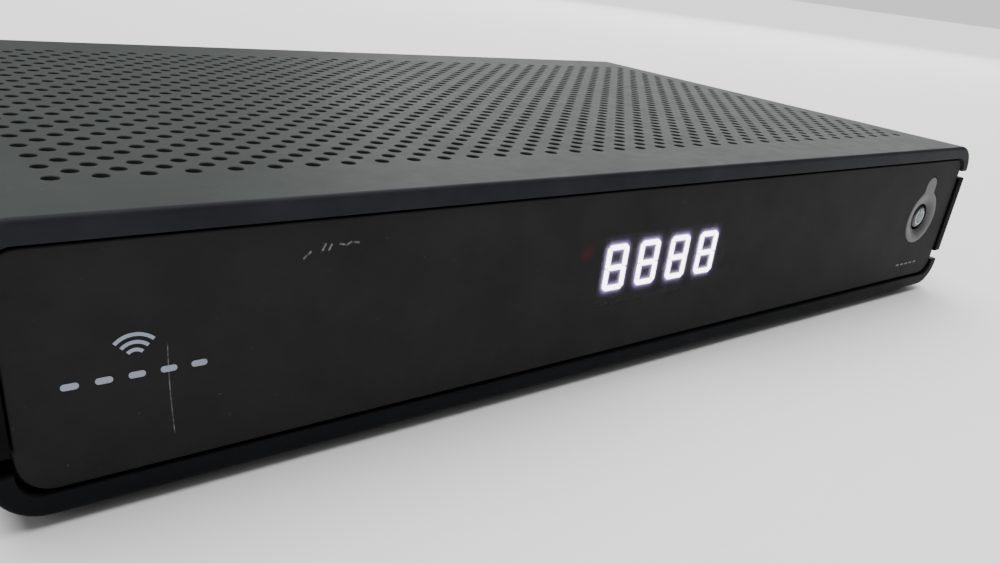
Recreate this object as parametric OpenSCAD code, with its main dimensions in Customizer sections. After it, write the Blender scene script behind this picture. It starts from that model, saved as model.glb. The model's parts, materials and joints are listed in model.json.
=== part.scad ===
// Cable gateway in a flat case: a perforated top shell, a slotted base tray and two side
// rails clamp a dark front fascia and a rear connector panel around one main board.
// +X is to the right and +Y to the back as seen from the front, +Z is up. The origin is on
// the resting surface, at the centre of the outer box, rear coax barrel included.

/* [Shell] */
// Width of the case
body_w = 270; // [262:1:300]
// Height of the case without its feet
shell_h = 44.5; // [43:0.5:50]
// Radius of the four long outer edges
corner_r = 7.5; // [6:0.5:9]
// Thickness of the shell walls
wall = 2; // [1.8:0.1:2.5]
// Thickness of the front lip that frames the fascia
lip_wall = 3.5; // [3.2:0.1:4]
// Thickness of the step that the fascia is seated against
shoulder_wall = 5; // [4.5:0.1:5.5]
// Depth of that step
shoulder_d = 1.5; // [1:0.1:2]

/* [Vent holes] */
// Distance between holes in one row
hole_pitch = 6.8; // [6.6:0.1:7]
// Holes in a long row
hole_cols = 36; // [20:1:36]
// Number of rows
hole_rows = 37; // [21:2:37]
// Diameter of a hole
hole_d = 2.6; // [2:0.1:3]
// Distance from the first row to the front, and from the last row to the back
edge_margin = 18; // [17:0.5:22]

/* [Side grooves] */
// Top of the upper groove, below the case top
upper_groove_drop = 7.7; // [7.5:0.1:8.5]
// Height of the upper groove
upper_groove_h = 2.1; // [1.5:0.1:2.5]
// Top of the lower groove, below the case top
lower_groove_drop = 33.5; // [32:0.1:34]
// Height of the lower groove
lower_groove_h = 2.9; // [2:0.1:3]
// Thickness of the rail's inner tongue, the groove's floor
tongue_t = 1.2; // [1:0.1:1.2]
// How far the tongue reaches past each groove
tongue_lap = 1.5; // [1:0.1:2]
// Distance from the back to the tongue's end
tongue_back = 4; // [4:0.5:10]

/* [Base] */
// Vent slots in one row of the base
slot_count = 13; // [5:2:13]
// Distance between slots
slot_pitch = 8; // [7:0.5:9]
// Width of a slot
slot_w = 3; // [2:0.5:3.5]
// Length of a slot
slot_l = 28; // [15:1:30]
// Distance from the middle of the base to each row of slots
slot_row_y = 24; // [20:1:30]
// Diameter of a rubber foot
foot_d = 14; // [10:1:14]
// Height of a foot under the base
foot_h = 2; // [1:0.5:4]
// Depth of the pocket that a foot is glued in
foot_pocket = 0.6; // [0.4:0.1:1]
// Distance from the middle to a foot, across
foot_x = 110; // [90:1:110]
// Distance from the front and the back to a foot
foot_inset = 22; // [16:1:30]
// Width of the blank rating label
label_w = 80; // [40:5:90]
// Depth of the label, front to back
label_d = 14; // [10:1:16]
// Thickness of the label
label_t = 0.2; // [0.1:0.1:0.3]
// Depth of the pocket that the label lies in
label_pocket = 0.3; // [0.3:0.1:0.5]

/* [Case screws] */
// Distance from the middle to a screw, across
screw_x = 124.5; // [124:0.5:125]
// Distance from the front to the front screws
screw_front = 17; // [16:0.5:18]
// Distance from the back to the rear screws
screw_back = 12; // [10:0.5:14]
// Radius of the base post around a screw head
low_post_r = 4.4; // [4:0.1:4.4]
// Radius of the top shell's post
high_post_r = 3.3; // [3:0.1:3.3]
// Height at which the two posts meet
post_seam = 12; // [11:0.5:14]
// Radius of the screw head
case_head_r = 2.75; // [2.5:0.05:2.8]
// Height of the screw head
case_head_h = 2.4; // [2:0.1:2.6]
// Radius of the counterbore
case_bore_r = 3.1; // [3:0.1:3.3]
// Height of the seat under the screw head
case_seat = 6.5; // [6:0.5:8]
// Radius of the screw's shank
case_shank_r = 1.4; // [1.2:0.1:1.5]
// Length of the shank
case_shank_l = 15; // [12:1:20]
// Length of the pilot hole in the top shell's post
pilot_l = 14; // [12:1:20]

/* [Fascia] */
// Width of the fascia
fascia_w = 262; // [255:1:262]
// Height of the fascia
fascia_h = 36.2; // [34:0.1:36.2]
// Top of the fascia, below the case top
fascia_drop = 4.1; // [4:0.1:5]
// How far the fascia sits behind the lip
fascia_sink = 0.6; // [0.4:0.1:1]
// Thickness of the fascia
fascia_t = 2.5; // [2.3:0.1:3]
// Radius of the fascia's upper corners
fascia_r_high = 4; // [3:0.5:5]
// Radius of the fascia's lower corners
fascia_r_low = 5; // [3:0.5:6]
// Thickness left in front of the display
window_skin = 1.2; // [1:0.1:1.6]
// Width of the pocket behind the display window
window_w = 43; // [42:1:46]
// Height of that pocket
window_h = 16; // [14:1:18]
// Thickness of printed marks
print_t = 0.1; // [0.05:0.05:0.2]
// Radius of a boss that carries the front board
boss_r = 2.6; // [2.2:0.1:3]
// Radius of the pilot hole in that boss
boss_pilot_r = 0.9; // [0.8:0.1:1]

/* [Emblem] */
// Left end of the row of bars
bars_x = -124.4; // [-125:0.1:-118]
// Distance between bars
bars_pitch = 4.5; // [4:0.1:5]
// Number of bars
bars_count = 5; // [3:1:5]
// Length of a bar
bar_l = 2.4; // [1.5:0.1:3]
// Height of a bar
bar_h = 1; // [0.5:0.1:1.5]
// Middle of the bars, below the case top
bars_drop = 24.5; // [23:0.1:26]
// Middle of the arcs, across
arcs_x = -114.2; // [-118:0.1:-106]
// Centre of the arcs, below the case top
arcs_drop = 22; // [21:0.1:23]
// Number of arcs
arcs_count = 3; // [2:1:3]
// Distance between arcs
arcs_pitch = 1.2; // [1:0.1:1.2]
// Width of an arc
arcs_w = 0.55; // [0.4:0.05:0.7]

/* [Power key] */
// Middle of the key, across
key_x = 115.4; // [110:0.1:116]
// Middle of the key, below the case top
key_drop = 21.1; // [20:0.1:22]
// Outer radius of the ring
ring_r = 8.1; // [7:0.1:8.5]
// Width of the neck above the ring
neck_w = 5.9; // [5:0.1:6]
// Top of the neck above the ring's middle
neck_top = 12.6; // [12:0.1:13.5]
// Radius of the fillets between neck and ring
neck_fillet = 1.6; // [1:0.1:2]
// Thickness of the keyhole trim
trim_t = 1.15; // [1.1:0.05:1.3]
// Depth of the trim's seat in the fascia
trim_seat = 1; // [0.8:0.1:1]
// Radius of the hole around the button
key_bore_r = 4; // [3.9:0.1:4.2]
// Radius of the button
button_r = 3.5; // [3.2:0.1:3.6]
// How far the button sits behind the fascia's face
button_sink = 0.3; // [0.1:0.1:0.5]
// Travel of the button
button_travel = 0.5; // [0.3:0.1:0.6]
// Radius of the collar that keeps the button in
collar_r = 4.8; // [4.6:0.1:5]
// Thickness of the collar
collar_t = 0.8; // [0.6:0.1:0.9]
// Outer radius of the power symbol
icon_r = 2.4; // [1.8:0.1:2.6]
// Stroke of the power symbol
icon_w = 0.6; // [0.4:0.1:0.7]
// Height of the power symbol above the button's face
icon_t = 0.1; // [0.05:0.05:0.15]

/* [Display] */
// Distance between digits
digit_pitch = 10.05; // [9.5:0.05:10.5]
// Number of digits
digit_count = 4; // [4:1:4]
// Height of a digit
digit_h = 10.2; // [9:0.1:10.4]
// Width of a digit
digit_w = 6.1; // [5.5:0.1:6.5]
// Stroke of a digit
stroke = 1.3; // [1.1:0.1:1.4]
// Gap between segments
segment_gap = 0.2; // [0.1:0.05:0.3]
// Thickness of a segment
segment_t = 0.3; // [0.2:0.1:0.4]
// Middle of the digits, below the case top
display_drop = 21.3; // [20:0.1:22]
// Height of the display housing
display_h = 13; // [12.5:0.1:13.5]
// Depth of the display housing
display_d = 6.7; // [6.5:0.1:7]
// Gap between the window's inner face and the segments
display_gap = 0.3; // [0.2:0.1:0.4]
// Middle of the status light, across
light_x = -24.4; // [-30:0.1:-23]
// Middle of the status light, below the case top
light_drop = 16; // [15:0.1:20]
// Diameter of the status light
light_d = 3; // [2.5:0.5:3]
// Middle of the infrared receiver, across
infrared_x = 34; // [28:1:60]
// Width of the infrared receiver
infrared_w = 5.6; // [5:0.1:6]
// Height of the infrared receiver
infrared_h = 6.9; // [6:0.1:7]
// Depth of the infrared receiver's block
infrared_d = 3; // [2.5:0.1:3.2]
// Radius of the infrared receiver's lens
infrared_r = 2.2; // [2:0.1:2.4]

/* [Front board] */
// Left edge of the front board
front_board_x0 = -38; // [-42:1:-34]
// Right edge of the front board
front_board_x1 = 120.5; // [119:0.5:121]
// Bottom edge of the front board
front_board_z = 11; // [10:0.5:12]
// Height of the front board
front_board_h = 28; // [26:0.5:28]
// Thickness of the front board
front_board_t = 1.2; // [1:0.1:1.6]
// Distance from the board's edges to its bosses
boss_inset = 4; // [3.5:0.5:5]
// Distance from the board's left edge to the right pair of bosses
boss_span = 132; // [120:1:134]
// Length of the front board's screws
board_screw_l = 5; // [4:0.5:5.5]
// Width and height of the push switch
switch_w = 6; // [5:0.5:6.2]
// Depth of the push switch
switch_d = 3.8; // [3.5:0.1:3.9]
// Radius of the switch's plunger
plunger_r = 1.7; // [1.5:0.1:1.8]
// Clearance around a plunger
plunger_gap = 0.2; // [0.1:0.05:0.3]
// Clearance between the button's stem and the plunger
touch_gap = 0.1; // [0.05:0.05:0.15]
// Middle of the ribbon cable, across
ribbon_x = 60; // [45:1:90]
// Width of the ribbon cable
ribbon_w = 12; // [8:0.5:14]
// Thickness of the ribbon cable
ribbon_t = 0.3; // [0.2:0.1:0.4]
// Radius of the ribbon's bend
ribbon_r = 4; // [3:0.5:4]
// Width of a ribbon socket
socket_w = 15; // [14.5:0.5:18]
// Height of a ribbon socket
socket_h = 3; // [2.5:0.5:3]
// Depth of a ribbon socket
socket_d = 5; // [4:0.5:5]

/* [Main board] */
// Width of the main board
board_w = 238; // [230:1:238]
// Distance from the front to the main board
board_front = 21; // [20:0.5:22]
// Distance from the back to the main board
board_back = 3; // [3:0.1:3.5]
// Height of the main board's underside
board_z = 10; // [9:0.5:10]
// Thickness of the main board
board_t = 1.6; // [1.5:0.1:1.7]
// Distance from the middle to the outer standoffs
standoff_x = 113; // [110:1:113]
// Distance from the front to the front standoffs
standoff_front = 27; // [26:1:28]
// Distance from the back to the rear standoffs
standoff_back = 32; // [30:1:36]
// Radius of a standoff
standoff_r = 3.5; // [3:0.1:4]
// Radius of the pilot hole in a standoff
standoff_pilot_r = 1.25; // [1.2:0.05:1.3]
// Depth of that pilot hole
standoff_pilot_l = 5; // [4:0.5:5.5]
// Radius of the clearance holes in the boards
board_hole_r = 1.6; // [1.5:0.1:1.7]
// Radius of a board screw's head
board_head_r = 2.7; // [2.5:0.1:3]
// Height of a board screw's head
board_head_h = 1.9; // [1.6:0.1:2.2]

/* [Chips] */
// Middle of the processor, across
soc_x = 20; // [15:1:22]
// Middle of the processor, front to back
soc_y = -8; // [-12:1:-4]
// Width of the processor
soc_w = 27; // [23:1:31]
// Height of the processor
soc_h = 2.2; // [1.8:0.1:2.6]
// Thickness of the thermal pad
pad_t = 0.5; // [0.3:0.1:1]
// Width of the heat sink
sink_w = 58; // [50:1:58]
// Thickness of the heat sink's base
sink_base = 3; // [2:0.5:4]
// Height of the heat sink
sink_h = 14; // [10:1:15]
// Number of fins
fin_count = 12; // [8:1:13]
// Thickness of a fin
fin_t = 1.2; // [1:0.1:1.4]
// Distance from the sink's edges to its pins
pin_inset = 4; // [3.5:0.5:5]
// Radius of a heat sink pin
pin_r = 1.3; // [1.2:0.1:1.5]
// Radius of that pin's head
pin_head_r = 2.2; // [2:0.1:2.4]
// Middle of the memory chips, across
memory_x = -24; // [-30:1:-22]
// Distance between the memory chips
memory_pitch = 18; // [16:1:22]
// Size of a memory chip
memory_size = [9, 13, 1.2]; // [1:0.1:16]
// Middle of the flash chip, across
flash_x = 64; // [60:1:66]
// Size of the flash chip
flash_size = [12, 18, 1.2]; // [1:0.1:22]
// Size of the crystal
crystal_size = [11.5, 4.8, 3.6]; // [3:0.1:14]
// Size of the tuner's shield
tuner_size = [24, 40, 9]; // [7:0.1:48]
// Thickness of the shield's sheet
tuner_wall = 0.5; // [0.4:0.1:0.6]
// Distance from the back to the tuner's shield
tuner_back = 20; // [20:1:22]
// Size of the tuner chip
tuner_chip_size = [9, 9, 1]; // [1:0.1:11]
// Radius of a large capacitor
can_r = 5; // [4:0.5:6.3]
// Height of a large capacitor
can_h = 16; // [12:1:17]
// Size of an inductor
inductor_size = [8, 8, 4.5]; // [3.5:0.1:10]

/* [Rear panel] */
// Thickness of the rear panel
panel_t = 1.5; // [1.2:0.1:1.6]
// How far the panel sits inside the shell's back edge
panel_sink = 1; // [0.8:0.1:1.5]
// Clearance between the panel and the shell
panel_gap = 0.1; // [0.05:0.05:0.2]
// Clearance around a connector
port_gap = 0.25; // [0.2:0.05:0.4]
// How far a connector stands out of the panel
port_proud = 0.4; // [0.2:0.1:0.6]

/* [Coax connector] */
// Middle of the coax connector, across
coax_x = 98; // [94:1:100]
// Height of its axis above the board
coax_rise = 8; // [7.5:0.1:8.5]
// Radius of the threaded barrel, a 3/8 inch thread
coax_r = 4.76; // [4.7:0.01:4.8]
// How far the barrel stands out of the case
coax_reach = 8; // [7:0.5:12]
// Radius of the barrel behind its free thread
coax_root_r = 4.5; // [4.3:0.05:4.6]
// Length of the free thread
coax_thread_l = 5; // [4.5:0.1:5]
// Width and height of the connector's block
coax_block = 14; // [13:0.5:15]
// Depth of the block
coax_block_d = 12; // [10:0.5:13]
// Radius of the white insulator
insulator_r = 3.3; // [3:0.1:3.5]
// How far the insulator sits inside the barrel's end
insulator_sink = 0.5; // [0.3:0.1:0.8]
// Radius of the hole for the cable's centre wire
wire_r = 0.6; // [0.5:0.05:0.7]
// Radius of the spring contact
contact_r = 1.1; // [0.9:0.05:1.2]
// Thickness of the nut
nut_t = 3; // [2.5:0.1:3.2]
// Width of the nut across its flats
nut_flats = 13; // [12:0.5:14]
// Thickness of the washer
washer_t = 0.6; // [0.5:0.1:0.8]
// Radius of the washer
washer_r = 7.4; // [7:0.1:8]

/* [Ethernet jack] */
// Middle of the jack, across
ethernet_x = 68; // [64:1:72]
// Size of the jack
ethernet_size = [16, 18, 13.4]; // [10.5:0.1:22]
// Width of the plug's space
ethernet_plug_w = 11.9; // [11.8:0.1:12]
// Height of the plug's space
ethernet_plug_h = 6.8; // [6.6:0.1:7]
// Height of the plug's space above the jack's underside
ethernet_plug_z = 3.6; // [3.4:0.1:3.8]
// Depth of the plug's space
ethernet_plug_d = 13; // [12:0.5:14]
// Width of the latch's slot
latch_w = 6.2; // [6:0.1:6.6]
// Height of the latch's slot
latch_h = 2.3; // [2:0.1:2.5]
// Distance between contacts
contact_pitch = 1.02; // [1:0.01:1.04]
// Width of a contact
contact_w = 0.45; // [0.4:0.05:0.5]
// Slope of a contact
contact_slope = 16; // [12:1:18]
// Size of a jack light
lamp_size = [2.8, 3, 1.6]; // [1.5:0.1:4]

/* [Video port] */
// Middle of the video port, across
video_x = 40; // [36:1:42]
// Size of the port
video_size = [15, 11.5, 5.5]; // [4.5:0.1:18]
// Thickness of the port's sheet
sheet = 0.4; // [0.3:0.05:0.5]
// Slanted part of the lower corners
video_slant = 1.8; // [1.5:0.1:2]
// Size of the contact tongue
video_tongue_size = [11.2, 9, 1.1]; // [1:0.1:13]
// Thickness of a port's closed back
port_floor = 1.5; // [1:0.1:2]

/* [Data port] */
// Middle of the data port, across
data_x = -4; // [-8:1:-2]
// Size of the port
data_size = [14.4, 14, 7]; // [5.5:0.1:17]
// Size of the contact tongue
data_tongue_size = [11, 8.8, 1.9]; // [1.5:0.1:13]
// Distance from the port's inner top to the tongue
data_tongue_drop = 0.9; // [0.8:0.1:1]

/* [Optical port] */
// Middle of the optical port, across
optical_x = 18; // [16:1:20]
// Size of the port
optical_size = [10, 13, 10.6]; // [8:0.1:16]
// Width and height of the plug's space
optical_plug = 6.8; // [6.6:0.1:7]
// Height of the plug's space above the port's underside
optical_plug_z = 1.6; // [1.5:0.1:2]
// Depth of the plug's space
optical_plug_d = 10.5; // [10:0.1:11]
// Depth of the pocket in the roof that the shutter folds into
shutter_pocket = 1.5; // [1.4:0.1:1.6]
// Thickness of the shutter
shutter_t = 0.8; // [0.7:0.1:0.9]
// Clearance around the shutter
shutter_gap = 0.25; // [0.2:0.05:0.3]
// How far the shutter sits behind the port's face
shutter_sink = 1; // [0.8:0.1:1.2]
// Radius of the shutter's hinge pin
hinge_r = 0.5; // [0.45:0.05:0.55]
// Radial clearance of the hinge pin
hinge_gap = 0.05; // [0.04:0.01:0.1]
// Length of the hinge pin past the shutter
hinge_l = 0.9; // [0.7:0.1:1]
// Radius of the light source behind the plug
emitter_r = 1.6; // [1.4:0.1:1.8]
// Length of the light source
emitter_l = 1.5; // [1:0.1:2]

/* [Audio jack] */
// Middle of the audio jack, across
audio_x = -26; // [-30:1:-24]
// Size of the jack's block
audio_size = [8, 13, 8]; // [6.5:0.1:16]
// Height of its axis above the board
audio_rise = 4; // [3.8:0.1:4.2]
// Radius of its bore
audio_bore_r = 1.8; // [1.75:0.05:1.85]
// Depth of its bore
audio_bore_l = 12; // [11:0.5:13]
// Radius of its collar
audio_collar_r = 3.2; // [3:0.1:3.5]

/* [Reset key] */
// Middle of the reset key, across
reset_x = -42; // [-48:1:-40]
// Height of its axis above the board
reset_rise = 3.5; // [3.2:0.1:4]
// Size of its switch
reset_size = [6, 4, 5]; // [3:0.1:7]
// Radius of its plunger
reset_r = 0.9; // [0.8:0.1:1]
// Radius of the hole in the panel
reset_hole_r = 1.2; // [1.1:0.1:1.4]
// Length of the plunger outside the switch
reset_l = 1.6; // [1.4:0.1:2]
// Length of the plunger inside the switch
reset_tail = 1; // [0.8:0.1:1.2]
// Travel of the plunger
reset_travel = 0.3; // [0.2:0.05:0.4]

/* [Power inlet] */
// Middle of the power inlet, across
inlet_x = -98; // [-104:1:-90]
// Size of the inlet's block
inlet_size = [9, 14, 11]; // [7:0.1:17]
// Height of its axis above the board
inlet_rise = 6.3; // [6:0.1:6.5]
// Radius of its socket
inlet_r = 3; // [2.8:0.1:3.2]
// Depth of its socket
inlet_l = 10; // [9:0.5:11]
// Radius of its centre pin
inlet_pin_r = 1.05; // [1:0.05:1.25]

/* [Hidden] */

$fn = 64;
// Straight steps in a drawn quarter arc
arc_steps = 12;
// How far a cut runs past the face it opens
cut = 1;

body_d = 2 * edge_margin + (hole_rows - 1) * hole_pitch / 2;
y_front = -(body_d + coax_reach) / 2;
y_back = y_front + body_d;
y_mid = (y_front + y_back) / 2;
z_low = foot_h;
z_high = z_low + shell_h;
floor_z = z_low + wall;
rail_z0 = z_high - lower_groove_drop;
rail_z1 = z_high - upper_groove_drop - upper_groove_h;
base_top = z_high - lower_groove_drop - lower_groove_h;
cover_low = z_high - upper_groove_drop;

face_y = y_front + fascia_sink;
fascia_back = face_y + fascia_t;
shoulder_back = fascia_back + shoulder_d;
fascia_z1 = z_high - fascia_drop;
fascia_z0 = fascia_z1 - fascia_h;
window_y = face_y + window_skin;
segment_y = window_y + display_gap;
display_y = segment_y + segment_t;
front_board_y = display_y + display_d;
front_board_back = front_board_y + front_board_t;
display_z = z_high - display_drop;
light_z = z_high - light_drop;
key_z = z_high - key_drop;
button_y = face_y + button_sink;
collar_gap = 0.2;
collar_y = fascia_back + collar_gap;
switch_y = front_board_y - switch_d;
plunger_y = collar_y + collar_t + touch_gap;
plunger_tail = 1.3;
plunger_well = plunger_tail + button_travel + plunger_gap;

board_y0 = y_front + board_front;
board_y1 = y_back - board_back;
board_top = board_z + board_t;
sink_z = board_top + soc_h + pad_t;
port_y = y_back - panel_sink + port_proud;
panel_y = y_back - panel_sink - panel_t;
coax_z = board_top + coax_rise;
audio_z = board_top + audio_rise;
reset_z = board_top + reset_rise;
inlet_z = board_top + inlet_rise;
optical_z = board_top + optical_plug_z;
hinge_y = port_y - shutter_sink - shutter_t / 2;
hinge_z = optical_z + optical_plug + shutter_pocket / 2;
case_screw_spots = [
  for (x = [-screw_x, screw_x]) for (y = [y_front + screw_front, y_back - screw_back]) [x, y]
];
foot_spots = [
  for (x = [-foot_x, foot_x]) for (y = [y_front + foot_inset, y_back - foot_inset]) [x, y]
];
standoff_spots = [
  for (x = [-standoff_x, 0, standoff_x])
    for (y = [y_front + standoff_front, y_back - standoff_back]) [x, y]
];
boss_spots = [
  for (x = [front_board_x0 + boss_inset, front_board_x0 + boss_span])
    for (z = [front_board_z + boss_inset, front_board_z + front_board_h - boss_inset]) [x, z]
];
sink_pin_spots = [
  for (side = [-1, 1]) [soc_x + side * (sink_w / 2 - pin_inset), soc_y - side * (sink_w / 2 - pin_inset)]
];
memory_spots = [for (k = [-1:1]) [memory_x, soc_y + k * memory_pitch]];
capacitor_spots = [[-104, 40], [-88, 40], [-74, 46], [-104, 20], [-30, 44]];
inductor_spots = [[-82, 22], [-66, 22], [-52, 38], [-52, 22]];
tuner_x = coax_x;
tuner_y = y_back - tuner_back - tuner_size[1];

// A quarter arc's points about a centre
function corner_arc(cx, cz, r, start) = [
  for (k = [0:arc_steps]) let (a = start + 90 * k / arc_steps) [cx + r * cos(a), cz + r * sin(a)]
];
// A rounded rectangle's points, with one radius for its upper corners and one for its lower
function rounded_outline(w, z0, z1, r_low, r_high) = concat(
  corner_arc(w / 2 - r_high, z1 - r_high, r_high, 0),
  corner_arc(r_high - w / 2, z1 - r_high, r_high, 90),
  corner_arc(r_low - w / 2, z0 + r_low, r_low, 180),
  corner_arc(w / 2 - r_low, z0 + r_low, r_low, 270)
);

// Extrudes a drawing of the XZ plane from y0 backwards
module along_y(y0, depth) {
  translate([0, y0 + depth, 0]) rotate([90, 0, 0]) linear_extrude(height = depth) children();
}
// A round rod that starts at y0 and runs backwards
module rod_y(x, y0, z, r, l) {
  translate([x, y0, z]) rotate([-90, 0, 0]) cylinder(r = r, h = l);
}
// A box centred on x that starts at y and z
module block(x, y, z, size) {
  translate([x - size[0] / 2, y, z]) cube(size);
}
// A box centred on x and y that stands on z
module chip(x, y, z, size) {
  block(x, y - size[1] / 2, z, size);
}
// The case's outline, moved inwards
module case_outline(inset) {
  polygon(rounded_outline(body_w - 2 * inset, z_low + inset, z_high - inset,
    corner_r - inset, corner_r - inset));
}
// The case's wall all round, with the lip and the fascia's seat at the front
module case_ring() {
  difference() {
    along_y(y_front, body_d) case_outline(0);
    along_y(y_front - cut, fascia_back - y_front + cut) case_outline(lip_wall);
    along_y(y_front, body_d) case_outline(shoulder_wall);
    along_y(shoulder_back, body_d) case_outline(wall);
  }
}
// The stretch of the case's wall between two heights
module case_slice(z0, z1) {
  intersection() {
    case_ring();
    translate([-body_w, y_front - cut, z0]) cube([2 * body_w, body_d + 2 * cut, z1 - z0]);
  }
}

module top_cover() {
  color("#6f7473")
  difference() {
    union() {
      case_slice(cover_low, z_high + cut);
      for (p = case_screw_spots)
        translate([p[0], p[1], post_seam]) cylinder(r = high_post_r, h = z_high - wall / 2 - post_seam);
    }
    for (row = [0:hole_rows - 1])
      for (i = [0:hole_cols - 1 - row % 2])
        translate([(i - (hole_cols - 1 - row % 2) / 2) * hole_pitch,
          y_front + edge_margin + row * hole_pitch / 2, z_high - wall - cut])
          cylinder(d = hole_d, h = wall + 2 * cut);
    for (p = case_screw_spots)
      translate([p[0], p[1], post_seam - cut]) cylinder(r = case_shank_r, h = pilot_l + cut);
  }
}

module base_tray() {
  color("#26272a")
  difference() {
    union() {
      case_slice(z_low - cut, base_top);
      for (p = case_screw_spots)
        translate([p[0], p[1], z_low + wall / 2]) cylinder(r = low_post_r, h = post_seam - z_low - wall / 2);
      for (p = standoff_spots)
        translate([p[0], p[1], z_low + wall / 2]) cylinder(r = standoff_r, h = board_z - z_low - wall / 2);
    }
    for (p = case_screw_spots) {
      translate([p[0], p[1], z_low - cut]) cylinder(r = case_bore_r, h = case_seat - z_low + cut);
      translate([p[0], p[1], z_low]) cylinder(r = board_hole_r, h = post_seam);
    }
    for (p = standoff_spots)
      translate([p[0], p[1], board_z - standoff_pilot_l])
        cylinder(r = standoff_pilot_r, h = standoff_pilot_l + cut);
    for (p = foot_spots)
      translate([p[0], p[1], z_low - cut]) cylinder(d = foot_d, h = foot_pocket + cut);
    block(0, y_mid - label_d / 2, z_low - cut, [label_w, label_d, label_pocket + cut]);
    for (side = [-1, 1])
      for (i = [0:slot_count - 1])
        chip((i - (slot_count - 1) / 2) * slot_pitch, y_mid + side * slot_row_y, z_low - cut,
          [slot_w, slot_l, wall + 2 * cut]);
  }
}

// The side wall between the two grooves, with the tongue that closes them from inside
module side_rail(side) {
  color("#2b2d2e") {
    intersection() {
      case_slice(rail_z0, rail_z1);
      translate([side > 0 ? 0 : -body_w, y_front - cut, 0]) cube([body_w, body_d + 2 * cut, z_high]);
    }
    intersection() {
      block(side * (body_w / 2 - wall - tongue_t / 2), shoulder_back, base_top - tongue_lap,
        [tongue_t, y_back - tongue_back - shoulder_back, cover_low - base_top + 2 * tongue_lap]);
      along_y(shoulder_back, body_d) case_outline(wall);
    }
  }
}
module side_rail_left() {
  side_rail(-1);
}
module side_rail_right() {
  side_rail(1);
}

module case_screws() {
  color("#3a3b3d")
  for (p = case_screw_spots)
    translate([p[0], p[1], case_seat - case_head_h]) {
      cylinder(r = case_head_r, h = case_head_h);
      cylinder(r = case_shank_r, h = case_head_h + case_shank_l);
    }
}

module rubber_feet() {
  color("#1c1c1d")
  for (p = foot_spots)
    translate([p[0], p[1], 0]) cylinder(d = foot_d, h = foot_h + foot_pocket);
}

module bottom_label() {
  color("#c9cacb")
  block(0, y_mid - label_d / 2, z_low + label_pocket - label_t, [label_w, label_d, label_t]);
}

// The keyhole's outline: a ring with a round-topped neck, filleted into each other
module keyhole_outline() {
  half = neck_w / 2;
  fillet_x = half + neck_fillet;
  fillet_z = sqrt(pow(ring_r + neck_fillet, 2) - pow(fillet_x, 2));
  translate([key_x, key_z]) {
    circle(r = ring_r);
    translate([-half, 0]) square([neck_w, neck_top - half]);
    translate([0, neck_top - half]) circle(r = half);
    for (side = [-1, 1])
      difference() {
        polygon([[0, 0], [side * fillet_x, fillet_z], [0, fillet_z]]);
        translate([side * fillet_x, fillet_z]) circle(r = neck_fillet);
      }
  }
}

module front_fascia() {
  color("#242426")
  difference() {
    union() {
      along_y(face_y, fascia_t)
        polygon(rounded_outline(fascia_w, fascia_z0, fascia_z1, fascia_r_low, fascia_r_high));
      for (p = boss_spots)
        rod_y(p[0], fascia_back - wall / 2, p[1], boss_r, front_board_y - fascia_back + wall / 2);
    }
    block(0, window_y, display_z - window_h / 2, [window_w, fascia_t, window_h]);
    along_y(face_y - cut, trim_seat + cut) keyhole_outline();
    rod_y(key_x, face_y, key_z, key_bore_r, fascia_t + cut);
    for (p = boss_spots)
      rod_y(p[0], front_board_y - board_screw_l, p[1], boss_pilot_r, board_screw_l + cut);
  }
}

// A bar with round ends
module bar_outline(l, h) {
  square([l - h, h], center = true);
  for (side = [-1, 1])
    translate([side * (l - h) / 2, 0]) circle(d = h);
}

module fascia_emblem() {
  color("#b9c6cf") {
    along_y(face_y - print_t, print_t)
      for (i = [0:bars_count - 1])
        translate([bars_x + bar_l / 2 + i * bars_pitch, z_high - bars_drop]) bar_outline(bar_l, bar_h);
    for (i = [1:arcs_count])
      translate([arcs_x, face_y, z_high - arcs_drop]) rotate([90, 0, 0]) rotate(45)
        rotate_extrude(angle = 90) translate([i * arcs_pitch, 0]) square([arcs_w, print_t]);
  }
}

module fascia_print() {
  print_drop = 14.8;
  dash = [1.6, 0.5];
  dash_pitch = 2.6;
  color("#5c5f62")
  along_y(face_y - print_t, print_t)
    for (i = [-2:2])
      translate([key_x + i * dash_pitch, key_z - print_drop]) square(dash, center = true);
}

module keyhole_trim() {
  color("#6c6d6d")
  difference() {
    along_y(face_y + trim_seat - trim_t, trim_t) keyhole_outline();
    rod_y(key_x, face_y - cut, key_z, key_bore_r, trim_t + 2 * cut);
  }
}

module power_button() {
  color("#4c5052") {
    rod_y(key_x, button_y, key_z, button_r, collar_y - button_y + collar_t);
    rod_y(key_x, collar_y, key_z, collar_r, collar_t);
  }
}

// A ring that is open at the top and a bar in the opening
module power_icon() {
  opening = 70;
  bar = 1.5;
  color("#cfdbe2") {
    translate([key_x, button_y, key_z]) rotate([90, 0, 0]) rotate(90 + opening / 2)
      rotate_extrude(angle = 360 - opening) translate([icon_r - icon_w, 0]) square([icon_w, icon_t]);
    block(key_x, button_y - icon_t, key_z + icon_r - bar, [icon_w, icon_t, bar]);
  }
}

module display_housing() {
  color("#17181a")
  block(0, display_y, display_z - display_h / 2, [digit_count * digit_pitch, display_d, display_h]);
}

// The top bar of a digit, with mitred ends
module top_segment() {
  reach = digit_w / 2 - segment_gap;
  polygon([[-reach, digit_h / 2], [reach, digit_h / 2], [reach - stroke, digit_h / 2 - stroke],
    [stroke - reach, digit_h / 2 - stroke]]);
}
// The upper right bar: mitred at the top, pointed at the middle
module side_segment() {
  reach = digit_h / 2 - segment_gap;
  right = digit_w / 2;
  polygon([[right, reach], [right, segment_gap], [right - stroke / 2, segment_gap],
    [right - stroke, stroke / 2 + segment_gap], [right - stroke, reach - stroke]]);
}
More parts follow.
